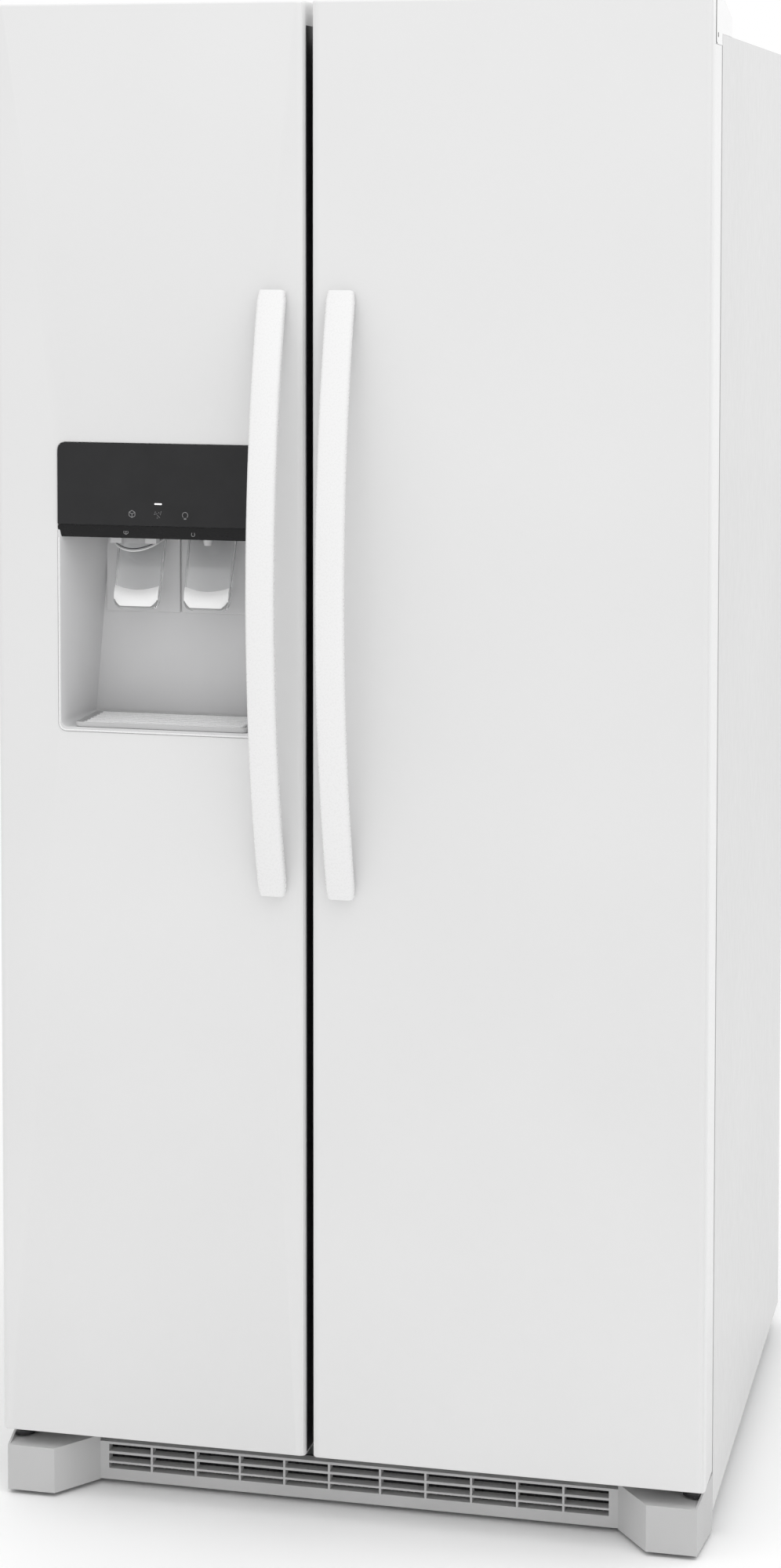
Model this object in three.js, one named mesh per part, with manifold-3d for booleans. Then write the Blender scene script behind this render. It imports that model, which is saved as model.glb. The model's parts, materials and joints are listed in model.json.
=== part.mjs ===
// A side by side refrigerator: freezer on the left with an ice and water dispenser in its door,
// fresh food on the right. Millimetres, +Z up, the doors face -Y. The origin is on the floor,
// under the middle of the overall box.
import * as THREE from "three";
import { ConvexGeometry } from "three/addons/geometries/ConvexGeometry.js";
import { mergeVertices } from "three/addons/utils/BufferGeometryUtils.js";
import Module from "manifold-3d";

// ---------------------------------------------------------------- driving dimensions
const gap = 0.3; // between pieces that touch
const move_gap = 1.2; // between a moving piece and what it passes

const cabinet_width = 838;
const cabinet_depth = 725;
const overall_height = 1765;
const door_rise = 40; // the doors stand this much above the cabinet
const cabinet_bottom = 26.5;
const sheet = 2; // painted steel
const plastic = 3; // moulded liners

const door_thickness = 67;
const door_bottom = 75;
const gasket_depth = 8;
const door_gap = 8.5; // between the two doors
const split_x = -43.35; // middle of the gap between the doors
const door_edge_radius = 9;

const handle_reach = 69;
const handle_length = 700;
const handle_drop = 678; // door top to the handle's middle
const handle_width = 33;
const handle_thickness = 14;
const handle_end_reach = 12;
const handle_offset = 40.4; // from the gap's middle to the handle's middle

const side_wall = 53; // cabinet side to the open compartment
const top_wall = 50;
const back_wall = 60;
const mullion = 56; // between the two compartments
const compartment_floor = 130;
const face_width = 30; // front flange of the cabinet round its foot opening

const machine_height = 285;
const machine_depth = 260;
const vent_pitch = 120;
const vent_length = 90;
const hump_wall = 50; // foam between the compressor space and the compartments
const hump_slope = 60;

const hinge_inset = 14; // hinge axis to the cabinet's side
const hinge_depth = 37; // hinge axis to the door's face
const hinge_pin_radius = 6;
const hinge_plate = 4;
const notch_height = 53.3; // cut in the door's top corner for the hinge
const notch_radius = 25;
const cover_height = 52.4;
const cover_back = 90; // how far the hinge cover runs back over the cabinet
const hinge_bolt_depth = 22; // pin length inside the door
const cam_radius = 11; // lift cam under each door
const cam_foot = 7;
const low_plate_rise = 2; // lower hinge plate above the toe grille's blocks

const dispenser_width = 245;
const dispenser_inset = 75; // freezer door's outer edge to the dispenser
const dispenser_drop = 508; // door top to the dispenser's top
const dispenser_height = 339;
const panel_height = 111;
const panel_band = 15; // darker lower band of the control panel
const recess_depth = 95;
const recess_draft = 18; // side walls lean in towards the back
const recess_top_draft = 19; // and further in at the top
const paddle_spacing = 0.35 * dispenser_width;
const paddle_width = 0.24 * dispenser_width;
const paddle_drop = 95; // pivot to the paddle's lower edge
const paddle_depth = 80.5; // door face to the paddles' pivot
const paddle_lean = 20; // degrees, lower edge forward of the pivot
const tray_height = 6;
const chute_depth = 73; // door face to the chute's rear wall
const chute_throat = 33; // front to back across the nozzle
const chute_width = 56;
const chute_wall = 2.5;

const grille_bottom = 5;
const block_top = 59;
const block_front = 4; // in front of the door's face
const block_inset = 8; // cabinet side to the block's outer edge
const block_width = 58;
const block_slant = 38; // across the slanted inner face of a block
const grille_recess = 50; // door face back to the slotted middle
const grille_wall = 2.5;
const grille_top = 52;
const slot_rows = [[19.5, 26], [28.5, 37.5], [40.5, 49]];
const slot_pitch = 54.5;
const slot_middle_pitch = 61.7; // the middle bay is wider
const slot_rib = 2.5;
const grille_louvre = 14;
const wing_top = 71;

const roller_radius = 20;
const roller_width = 13;
const roller_inset = 23; // cabinet side to the middle of a roller
const roller_front = 50; // behind the cabinet's front
const roller_back = 55; // ahead of the cabinet's back
const axle_radius = 4;

const dike_depth = 40; // raised rim of the door's inner panel
const rim_inset = 18; // compartment floor or ceiling to the rim
const bin_reach = 130; // hinge axis to the inner face of the door bins
const shelf_reach = 146; // hinge axis to the front of shelves and drawers
const bin_wall = 2.5;
const bin_height = 105;
const glass = 4;
const fresh_bin_rises = [230, 730]; // compartment floor to each bin
const fresh_shelf_rises = [630, 880, 1130];
const freezer_shelf_rises = [510, 830];
const basket_height = 162;
const dairy_height = 90;
const dairy_drop = 30; // rim top to the dairy box

const ice_bin_drop = 375; // compartment ceiling to the ice bin's floor
const ice_bin_height = 178;
const auger_rise = 62;
const auger_radius = 50;
const auger_turns = 3.5;
const ice_maker_drop = 127; // compartment ceiling to the ice maker's underside
const ice_maker_width = 128;
const evaporator_cover_drop = 415; // compartment ceiling to the cover's top
const evaporator_fan_radius = 48;

const compressor_inset = 189; // cabinet side to the compressor's middle
const condenser_inset = 89;
const condenser_width = 260;
const condenser_fan_radius = 60;

// ---------------------------------------------------------------- planes worked out from them
const half_width = cabinet_width / 2;
const overall_depth = handle_reach + door_thickness + gasket_depth + cabinet_depth;
const back_y = overall_depth / 2;
const front_y = back_y - cabinet_depth;
const door_back = front_y - gasket_depth;
const door_face = door_back - door_thickness;
const cabinet_top = overall_height - door_rise;
const hinge_y = door_face + hinge_depth;
const hinge_x = half_width - hinge_inset;
const freezer_x = [-half_width + side_wall, split_x - mullion / 2];
const fresh_x = [split_x + mullion / 2, half_width - side_wall];
const compartment_top = cabinet_top - top_wall;
const handle_middle = overall_height - handle_drop;
const dispenser_top = overall_height - dispenser_drop;
const dispenser_bottom = dispenser_top - dispenser_height;
const panel_bottom = dispenser_top - panel_height;
const block_outer = half_width - block_inset;
const block_inner = block_outer - block_width;
const grille_half = block_inner - block_slant;
const roller_x = half_width - roller_inset;
const compartment_back = back_y - back_wall;
const hump_y = back_y - machine_depth - hump_wall;
const hump_top = machine_height + hump_wall;
const shelf_front = hinge_y + shelf_reach;
const bin_inner = hinge_y + bin_reach;
const recess_back = door_face + recess_depth;

// ---------------------------------------------------------------- finishes
const finishes = {
  white_paint: [0xe4e4e4, 0.35, 0.0],
  white_plastic: [0xe9e9e7, 0.5, 0.0],
  liner_plastic: [0xf2f3f2, 0.45, 0.0],
  grey_plastic: [0xb9babb, 0.55, 0.0],
  recess_plastic: [0xa3a4a6, 0.5, 0.0],
  black_gloss: [0x2b2b2d, 0.15, 0.0],
  clear_plastic: [0xdfe7ea, 0.1, 0.0],
  gasket_rubber: [0xd7d7d4, 0.8, 0.0],
  glass: [0xcfe0dc, 0.05, 0.0],
  wire: [0xf4f4f4, 0.4, 0.1],
  foam: [0xe8ddb5, 0.9, 0.0],
  zinc: [0xb4b7ba, 0.4, 0.8],
  galvanized: [0xa7abae, 0.45, 0.8],
  black_paint: [0x1c1c1e, 0.5, 0.2],
  aluminium: [0xc3c6c8, 0.4, 0.85],
  black_plastic: [0x242426, 0.6, 0.0],
  roller_plastic: [0x3a3a3c, 0.6, 0.0],
};

// ---------------------------------------------------------------- shape tools
const wasm = await Module();
wasm.setup();
const root = new THREE.Group();

// A closed geometry as a solid, with its shared corners merged.
function solid(geometry) {
  const bare = geometry.index ? geometry.toNonIndexed() : geometry.clone();
  bare.deleteAttribute("normal");
  bare.deleteAttribute("uv");
  const merged = mergeVertices(bare, 1e-4);
  const mesh = new wasm.Mesh({
    numProp: 3,
    vertProperties: merged.attributes.position.array,
    triVerts: new Uint32Array(merged.index.array),
  });
  return new wasm.Manifold(mesh);
}

// A box between two limits on each axis.
function box(x, y, z) {
  const geometry = new THREE.BoxGeometry(x[1] - x[0], y[1] - y[0], z[1] - z[0]);
  geometry.translate((x[0] + x[1]) / 2, (y[0] + y[1]) / 2, (z[0] + z[1]) / 2);
  return solid(geometry);
}

// An outline carried along one axis: (y, z) points along x, (x, z) along y, (x, y) along z.
function prism(outline, axis, from, to) {
  const shape = new THREE.Shape(outline.map(([a, b]) => new THREE.Vector2(a, b)));
  const geometry = new THREE.ExtrudeGeometry(shape, { depth: to - from, bevelEnabled: false });
  const turn = new THREE.Matrix4();
  if (axis === "x") {
    turn.set(0, 0, 1, from, 1, 0, 0, 0, 0, 1, 0, 0, 0, 0, 0, 1);
  } else if (axis === "y") {
    turn.set(1, 0, 0, 0, 0, 0, -1, to, 0, 1, 0, 0, 0, 0, 0, 1);
  } else {
    turn.makeTranslation(0, 0, from);
  }
  return solid(geometry.applyMatrix4(turn));
}

// A round bar between two points.
function rod(start, end, radius, sides = 8) {
  const a = new THREE.Vector3(...start);
  const b = new THREE.Vector3(...end);
  const along = b.clone().sub(a);
  const geometry = new THREE.CylinderGeometry(radius, radius, along.length(), sides);
  const up = new THREE.Vector3(0, 1, 0);
  geometry.applyQuaternion(new THREE.Quaternion().setFromUnitVectors(up, along.normalize()));
  geometry.translate(...a.add(b).multiplyScalar(0.5).toArray());
  return solid(geometry);
}

// Points of an arc about (a, b), from one angle to another in degrees.
function arc(a, b, radius, from, to, steps) {
  const points = [];
  for (let i = 0; i <= steps; i += 1) {
    const angle = ((from + ((to - from) * i) / steps) * Math.PI) / 180;
    points.push([a + radius * Math.cos(angle), b + radius * Math.sin(angle)]);
  }
  return points;
}

// A rectangle with round corners.
function rounded(x, y, radius, steps = 3) {
  return [
    ...arc(x[1] - radius, y[1] - radius, radius, 0, 90, steps),
    ...arc(x[0] + radius, y[1] - radius, radius, 90, 180, steps),
    ...arc(x[0] + radius, y[0] + radius, radius, 180, 270, steps),
    ...arc(x[1] - radius, y[0] + radius, radius, 270, 360, steps),
  ];
}

// An outline moved inwards by a wall; a negative wall moves it outwards.
function inset(outline, wall) {
  const count = outline.length;
  let area = 0;
  outline.forEach(([a, b], i) => {
    const [c, d] = outline[(i + 1) % count];
    area += a * d - b * c;
  });
  const side = Math.sign(area) * wall;
  return outline.map((point, i) => {
    const before = new THREE.Vector2(...outline[(i + count - 1) % count]);
    const here = new THREE.Vector2(...point);
    const after = new THREE.Vector2(...outline[(i + 1) % count]);
    const first = here.clone().sub(before).normalize();
    const second = after.sub(here).normalize();
    const normal = new THREE.Vector2(-first.y - second.y, first.x + second.x);
    const reach = (2 * side) / normal.lengthSq();
    return [here.x + normal.x * reach, here.y + normal.y * reach];
  });
}

// A body of revolution about a vertical line through (x, y); the profile has (radius, z) points.
function turned(profile, x, y, sides) {
  const points = profile.map(([r, z]) => new THREE.Vector2(r, z));
  const geometry = new THREE.LatheGeometry(points, sides);
  geometry.rotateX(Math.PI / 2);
  geometry.translate(x, y, 0);
  return solid(geometry);
}

const join = (...pieces) => pieces.flat().reduce((sum, piece) => sum.add(piece));
const cut = (body, ...tools) => tools.flat().reduce((left, tool) => left.subtract(tool), body);
const grow = ([low, high], by) => [low - by, high + by];
const mirror_x = (piece) => piece.mirror([1, 0, 0]);

// Adds a solid to the object as a named mesh.
function add(name, body, finish) {
  const made = body.getMesh();
  const geometry = new THREE.BufferGeometry();
  geometry.setAttribute("position", new THREE.BufferAttribute(made.vertProperties, 3));
  geometry.setIndex(new THREE.BufferAttribute(made.triVerts, 1));
  geometry.computeVertexNormals();
  const [color, roughness, metalness] = finishes[finish];
  const material = new THREE.MeshStandardMaterial({ color, roughness, metalness });
  const mesh = new THREE.Mesh(geometry, material);
  mesh.name = name;
  root.add(mesh);
}

// ---------------------------------------------------------------- cabinet
// The side view of a compartment, with the step over the compressor space at its back.
function compartment_outline(wall, front) {
  const outline = [
    [front_y, compartment_floor],
    [hump_y, compartment_floor],
    [hump_y, hump_top - hump_slope],
    [hump_y + hump_slope, hump_top],
    [compartment_back, hump_top],
    [compartment_back, compartment_top],
    [front_y, compartment_top],
  ];
  const moved = inset(outline, -wall);
  moved[0][0] = front;
  moved[6][0] = front;
  return moved;
}

const compartment = (x, wall, front) =>
  prism(compartment_outline(wall, front), "x", x[0] - wall, x[1] + wall);

const liner_front = front_y + sheet + gap;
const past_front = front_y - 50;

function cabinet_wrapper() {
  const outer = [cabinet_bottom, cabinet_top];
  const shell = box([-half_width, half_width], [front_y, back_y], outer);
  const inside = box(grow([-half_width, half_width], -sheet),
    [front_y + sheet, back_y + 1], [cabinet_bottom - 1, cabinet_top - sheet]);
  const foot = box(grow([-half_width, half_width], -face_width),
    [front_y - 1, front_y + sheet + 1], [cabinet_bottom - 1, compartment_floor - face_width]);
  const doorways = [freezer_x, fresh_x].map((x) =>
    box(x, [front_y - 1, front_y + sheet + 1], [compartment_floor, compartment_top]));
  add("cabinet_wrapper", cut(shell, inside, foot, doorways), "white_paint");
}

function liners() {
  for (const [name, x] of [["freezer_liner", freezer_x], ["fresh_food_liner", fresh_x]]) {
    const outer = compartment(x, plastic, liner_front);
    const inner = compartment(x, 0, past_front);
    add(name, cut(outer, inner), "liner_plastic");
  }
}

function cabinet_foam() {
  const inner_x = grow([-half_width, half_width], -sheet - gap);
  const outline = inset([
    [front_y + sheet, compartment_floor - face_width],
    [back_y - machine_depth, compartment_floor - face_width],
    [back_y - machine_depth, machine_height],
    [back_y - sheet, machine_height],
    [back_y - sheet, cabinet_top - sheet],
    [front_y + sheet, cabinet_top - sheet],
  ], gap);
  const block = prism(outline, "x", inner_x[0], inner_x[1]);
  const holes = [freezer_x, fresh_x].map((x) => compartment(x, plastic + gap, past_front));
  add("cabinet_foam", cut(block, holes), "foam");
}

function rear_covers() {
  const x = grow([-half_width, half_width], -sheet - gap);
  const y = [back_y - sheet + gap, back_y];
  add("rear_panel", box(x, y, [machine_height + gap, cabinet_top - sheet - gap]), "galvanized");
  const cover = box(x, y, [cabinet_bottom + 8, machine_height - gap]);
  const slots = [];
  const columns = Math.floor((cabinet_width - 100) / vent_pitch);
  for (let z = 75; z < machine_height - 50; z += 30) {
    for (let i = 0; i < columns; i += 1) {
      const middle = (i - (columns - 1) / 2) * vent_pitch;
      slots.push(box([middle - vent_length / 2, middle + vent_length / 2], grow(y, 1), [z, z + 9]));
    }
  }
  add("machine_cover", cut(cover, slots), "galvanized");
}

// ---------------------------------------------------------------- base, rollers and toe grille
const rail_x = [roller_x - 13, roller_x + 13];
const axle_y = [front_y + roller_front, back_y - roller_back];

function base_frame() {
  const top = compartment_floor - face_width - gap;
  const rail_y = [front_y + sheet + gap, back_y - sheet - gap];
  const machine_y = back_y - machine_depth;
  const pieces = [];
  for (const side of [-1, 1]) {
    const x = side < 0 ? [-rail_x[1], -rail_x[0]] : rail_x;
    const outline = [
      [rail_y[0], cabinet_bottom],
      [rail_y[1], cabinet_bottom],
      [rail_y[1], cabinet_bottom + 30],
      [machine_y, cabinet_bottom + 30],
      [machine_y, top],
      [rail_y[0], top],
    ];
    let rail = prism(outline, "x", x[0], x[1]);
    for (const y of axle_y) {
      rail = rail.add(box(x, [y - 14, y + 14], [roller_radius - 8, cabinet_bottom + 1]));
      const half = roller_width / 2 + move_gap;
      rail = rail.subtract(box([side * roller_x - half, side * roller_x + half],
        grow([y, y], roller_radius + 3), [0, 2 * roller_radius + 6]));
      rail = rail.add(rod([x[0] + 1, y, roller_radius], [x[1] - 1, y, roller_radius],
        axle_radius, 12));
    }
    pieces.push(rail);
  }
  const inner = [-rail_x[0] - 1, rail_x[0] + 1];
  pieces.push(box(inner, [rail_y[0], machine_y], [top - 3, top]));
  pieces.push(box(inner, [machine_y, rail_y[1]], [cabinet_bottom, cabinet_bottom + 3]));
  pieces.push(box(inner, [machine_y, machine_y + 3], [cabinet_bottom, top]));
  add("base_frame", join(pieces), "galvanized");
}

function rollers() {
  const names = [["front_roller_left", -1, 0], ["front_roller_right", 1, 0],
    ["rear_roller_left", -1, 1], ["rear_roller_right", 1, 1]];
  for (const [name, side, end] of names) {
    const y = axle_y[end];
    const x = side * roller_x;
    const half = roller_width / 2;
    const wheel = rod([x - half, y, roller_radius], [x + half, y, roller_radius], roller_radius, 24);
    const bore = rod([x - 20, y, roller_radius], [x + 20, y, roller_radius], axle_radius + 0.5, 12);
    add(name, cut(wheel, bore), "roller_plastic");
  }
}

function toe_grille() {
  const recess_y = door_face + grille_recess;
  const block_y = door_face - block_front;
  const rear_y = front_y - move_gap;
  const wall_outline = [
    [grille_half - 2, recess_y],
    [block_inner, block_y],
    [block_outer, block_y],
    [half_width, rear_y],
    [grille_half - 2, rear_y],
  ];
  const outer = prism(wall_outline, "z", grille_bottom, block_top);
  const hollow_outline = inset(wall_outline, grille_wall);
  hollow_outline[3][1] = rear_y + 1;
  hollow_outline[4][1] = rear_y + 1;
  const hollow = prism(hollow_outline, "z", grille_bottom - 1, block_top - grille_wall);
  const bracket_slot = box([hinge_x - 27, half_width - 2 * grille_wall],
    [rear_y - 5, rear_y + 1], [block_top - 10, block_top + 1]);
  const rim = cut(prism(wall_outline, "z", block_top - 4, wing_top),
    prism(hollow_outline, "z", 0, wing_top + 1));
  const wedge = prism([[block_y, block_top], [rear_y - 8, wing_top], [rear_y, wing_top],
    [rear_y, block_top - 3], [block_y, block_top - 3]], "x", block_outer - 6, half_width + 1);
  const cam_room = rod([hinge_x, hinge_y, block_top + gap], [hinge_x, hinge_y, wing_top + 1],
    cam_foot + 2 * gap, 24);
  const block = cut(join(cut(outer, hollow, bracket_slot), rim.intersect(wedge)), cam_room);

  let panel = box([-grille_half, grille_half], [recess_y, recess_y + grille_louvre],
    [grille_bottom + 1, grille_top]);
  const openings = [];
  const bays = Math.floor((grille_half - slot_middle_pitch / 2) / slot_pitch);
  for (let i = -bays; i <= bays; i += 1) {
    const middle = i * slot_pitch + Math.sign(i) * (slot_middle_pitch - slot_pitch) / 2;
    const half = (i === 0 ? slot_middle_pitch : slot_pitch) / 2 - slot_rib / 2;
    openings.push([middle - half, middle + half]);
  }
  for (const z of slot_rows) {
    panel = cut(panel, openings.map((x) => box(x, grow([recess_y, recess_y + grille_louvre], 1), z)));
  }
  const middle = cut(panel, box([-grille_half + 6, grille_half - 6],
    [recess_y + grille_wall, recess_y + grille_louvre + 1], [grille_bottom, slot_rows[0][0] - 2.5]));
  add("toe_grille", join(middle, block, mirror_x(block)), "grey_plastic");
}

// ---------------------------------------------------------------- hinges
function hinges() {
  const top_z = [cabinet_top + gap, cabinet_top + gap + hinge_plate];
  const back = front_y + cover_back - 12;
  const half = 15.5;
  const plate_edge = half_width - 3.5;
  const plate_outline = [
    [plate_edge, back],
    [hinge_x - half - 5, back],
    [hinge_x - half - 5, hinge_y + 10],
    ...arc(hinge_x, hinge_y, half, 180, 310, 5),
    [plate_edge, hinge_y],
  ];
  const notch_floor = overall_height - notch_height;
  const upper = join(prism(plate_outline, "z", top_z[0], top_z[1]),
    rod([hinge_x, hinge_y, notch_floor - hinge_bolt_depth], [hinge_x, hinge_y, top_z[1] - 1],
      hinge_pin_radius, 16),
    rod([hinge_x - 8, back - 22, top_z[0] + 1], [hinge_x - 8, back - 22, top_z[1] + 4], 6, 6),
    rod([hinge_x - 8, back - 50, top_z[0] + 1], [hinge_x - 8, back - 50, top_z[1] + 4], 6, 6));
  add("upper_hinge_right", upper, "zinc");
  add("upper_hinge_left", mirror_x(upper), "zinc");

  const cover_half = notch_radius - 0.7;
  const outline = [
    [half_width - gap, front_y - gap],
    [hinge_x - cover_half, front_y - gap],
    ...arc(hinge_x, hinge_y, cover_half, 180, 305, 8),
    [half_width - gap, hinge_y - 19.5],
  ];
  const wall = 2.5;
  const top = overall_height - gap;
  const low = top - cover_height;
  const front_part = join(prism(outline, "z", low, top), box([hinge_x - cover_half, half_width - gap],
    [front_y - 1, front_y + cover_back], [cabinet_top + gap, top]));
  const slope = prism([[front_y + 12, top + 1], [front_y + cover_back + 1, top + 1],
    [front_y + cover_back + 1, cabinet_top + 22]], "x", hinge_x - 60, half_width + 10);
  const shape = cut(front_part, slope);
  const hollow_low = join(prism(inset(outline, wall), "z", low - 1, top - wall),
    box(grow([hinge_x - cover_half, half_width - gap], -wall),
      [front_y - 6, front_y + cover_back - wall], [cabinet_top - 1, top - wall]));
  const hollow_slope = prism([[front_y + 10, top - wall], [front_y + cover_back, top],
    [front_y + cover_back, cabinet_top + 22 - wall]], "x", hinge_x - 60, half_width + 10);
  const cover = cut(shape, cut(hollow_low, hollow_slope));
  add("hinge_cover_right", cover, "white_plastic");
  add("hinge_cover_left", mirror_x(cover), "white_plastic");

  const plate_z = [block_top + low_plate_rise, block_top + low_plate_rise + hinge_plate];
  const rear = front_y - gap - 0.5;
  const low_edge = half_width - 8.7;
  const low_outline = [
    [low_edge, rear],
    [hinge_x - 24, rear],
    ...arc(hinge_x, hinge_y, half, 180, 290, 5),
  ];
  const cam = turned([[0, plate_z[0] + 1], [cam_foot, plate_z[0] + 1], [cam_foot, plate_z[1] + 1.5],
    [cam_radius, plate_z[1] + 5], [cam_radius, door_bottom - 0.5], [0, door_bottom - 0.5]],
    hinge_x, hinge_y, 16);
  const lower = join(prism(low_outline, "z", plate_z[0], plate_z[1]), cam,
    box([hinge_x - 24, low_edge], [rear - 2.5, rear], [cabinet_bottom + 4, plate_z[1]]),
    rod([hinge_x, hinge_y, plate_z[0] + 1], [hinge_x, hinge_y, door_bottom + hinge_bolt_depth],
      hinge_pin_radius, 16));
  add("lower_hinge_right", lower, "zinc");
  add("lower_hinge_left", mirror_x(lower), "zinc");
}

// ---------------------------------------------------------------- doors
const door_z = [door_bottom, overall_height];
const freezer_door_x = [-half_width, split_x - door_gap / 2];
const fresh_door_x = [split_x + door_gap / 2, half_width];

// The door's block from above: square at the back, round at the two front edges.
const door_outline = (x) => [
  [x[1], door_back],
  [x[0], door_back],
  ...arc(x[0] + door_edge_radius, door_face + door_edge_radius, door_edge_radius, 180, 270, 5),
  ...arc(x[1] - door_edge_radius, door_face + door_edge_radius, door_edge_radius, 270, 360, 5),
];

// The door's solid, smaller by a wall on every face but the back, with the corner cut for the hinge.
function door_block(x, side, wall, back) {
  const outline = inset(door_outline(x), wall);
  outline[0][1] = back;
  outline[1][1] = back;
  const block = prism(outline, "z", door_z[0] + wall, door_z[1] - wall);
  const inner = side * hinge_x - side * (notch_radius + wall);
  const outer = side * (half_width + 1);
  const notch = box(side > 0 ? [inner, outer] : [outer, inner],
    [hinge_y - notch_radius + 0.3 - wall, back + 1], [overall_height - notch_height - wall, door_z[1] + 1]);
  return cut(block, notch);
}

function pin_holes(side) {
  const x = side * hinge_x;
  const radius = hinge_pin_radius + 0.5;
  const notch_floor = overall_height - notch_height;
  return [
    rod([x, hinge_y, notch_floor - hinge_bolt_depth - 2], [x, hinge_y, notch_floor + 5], radius, 16),
    rod([x, hinge_y, door_bottom - 5], [x, hinge_y, door_bottom + hinge_bolt_depth + 2], radius, 16),
  ];
}

const dispenser_x = [-half_width + dispenser_inset, -half_width + dispenser_inset + dispenser_width];
const dispenser_middle = (dispenser_x[0] + dispenser_x[1]) / 2;
const dispenser_z = [dispenser_bottom, dispenser_top];
const ice_x = dispenser_middle - paddle_spacing / 2;
const water_x = dispenser_middle + paddle_spacing / 2;

// The ice chute from the side: it runs down from the inner face of the door to the nozzle.
const chute_low = panel_bottom - 10;
const chute_rear = door_face + chute_depth;
const chute_front = chute_rear - chute_throat;
const chute_mouth = door_back + dike_depth - 0.3;
const chute_outline = [
  [chute_mouth, dispenser_top + 105],
  [chute_mouth, dispenser_top + 39],
  [door_face + 92, dispenser_top + 5],
  [chute_rear, panel_bottom + 54],
  [chute_rear, chute_low],
  [chute_front, chute_low],
  [chute_front, panel_bottom + 66],
  [door_face + 53, dispenser_top + 18],
];
const chute_x = [ice_x - chute_width / 2, ice_x + chute_width / 2];

function door_skins() {
  for (const [name, x, side] of [["freezer_door_skin", freezer_door_x, -1],
    ["fresh_food_door_skin", fresh_door_x, 1]]) {
    let skin = cut(door_block(x, side, 0, door_back), door_block(x, side, sheet, door_back + 1),
      pin_holes(side));
    if (side < 0) {
      skin = cut(skin, prism(rounded(dispenser_x, dispenser_z, door_edge_radius), "y",
        door_face - 1, door_face + sheet + 1));
    }
    add(name, skin, "white_paint");
  }
}

// Inner panel of a door with its foam: the raised rim stands into the compartment and holds the bins.
function door_liner(x, side, rim_x, rim_z) {
  const rim_back = door_back + dike_depth;
  const body = join(door_block(x, side, sheet + gap, door_back),
    prism(rounded(rim_x, rim_z, 12), "y", door_back - 1, rim_back));
  const well = prism(rounded(grow(rim_x, -16), grow(rim_z, -16), 10), "y", door_back + 8, rim_back + 1);
  return cut(body, well, pin_holes(side));
}

const rim_z = [compartment_floor + rim_inset, compartment_top - rim_inset];
const freezer_rim_x = [freezer_x[0] + 8, freezer_x[1] - 21];
const fresh_rim_x = [fresh_x[0] + 21, fresh_x[1] - 14];
const bulge_back = recess_back + 14;
const bulge_z = [dispenser_bottom - 18, dispenser_top + 125];

function door_liners() {
  add("fresh_food_door_liner", door_liner(fresh_door_x, 1, fresh_rim_x, rim_z), "liner_plastic");
  const bulge = prism(rounded(freezer_rim_x, bulge_z, 10), "y",
    door_back - 1, bulge_back);
  const pocket = box(dispenser_x, [door_face, recess_back + plastic + gap], dispenser_z);
  const shaft = prism(inset(chute_outline, -gap), "x", chute_x[0] - gap, chute_x[1] + gap);
  const mouth = box(grow(chute_x, gap), [chute_mouth - 1, bulge_back + 1],
    [dispenser_top + 39 - gap, dispenser_top + 105 + gap]);
  const liner = cut(join(door_liner(freezer_door_x, -1, freezer_rim_x, rim_z), bulge),
    pocket, shaft, mouth);
  add("freezer_door_liner", liner, "liner_plastic");
}

function door_gaskets() {
  const y = [door_back + gap, front_y - gap];
  const z = [compartment_floor - 22, compartment_top + 22];
  const width = 24;
  for (const [name, x] of [["freezer_gasket", [-hinge_x + 1, freezer_door_x[1] - 4]],
    ["fresh_food_gasket", [fresh_door_x[0] + 4, hinge_x - 1]]]) {
    const ring = cut(prism(rounded(x, z, 6), "y", y[0], y[1]),
      prism(rounded(grow(x, -width), grow(z, -width), 4), "y", y[0] - 1, y[1] + 1));
    add(name, ring, "gasket_rubber");
  }
}

function handles() {
  const chord = handle_length / 2;
  const rise = handle_reach - handle_end_reach;
  const radius = (chord * chord + rise * rise) / (2 * rise);
  const centre = door_face - handle_reach + radius;
  const span = (Math.asin(chord / radius) * 180) / Math.PI;
  const outline = [
    ...arc(centre, handle_middle, radius, 180 - span, 180 + span, 20),
    ...arc(centre, handle_middle, radius - handle_thickness, 180 + span, 180 - span, 20),
  ];
  const half = handle_width / 2;
  const crown = 3;
  const edge_cut = [
    ...arc(centre, handle_middle, radius + 1, 180 - span - 1, 180 + span + 1, 20),
    ...arc(centre, handle_middle, radius - crown, 180 + span + 1, 180 - span - 1, 20),
  ];
  const front = box([-500, 500], [door_face - handle_reach - 5, door_face - gap],
    grow([handle_middle - chord, handle_middle + chord], 5));
  for (const [name, side] of [["freezer_handle", -1], ["fresh_food_handle", 1]]) {
    const x = split_x + side * handle_offset;
    const strap = prism(outline, "x", x - half, x + half);
    const narrow = [x - half, x + half].map((edge) => prism(edge_cut, "x", edge - crown, edge + crown));
    add(name, cut(strap.intersect(front), narrow), "white_plastic");
  }
}

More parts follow.
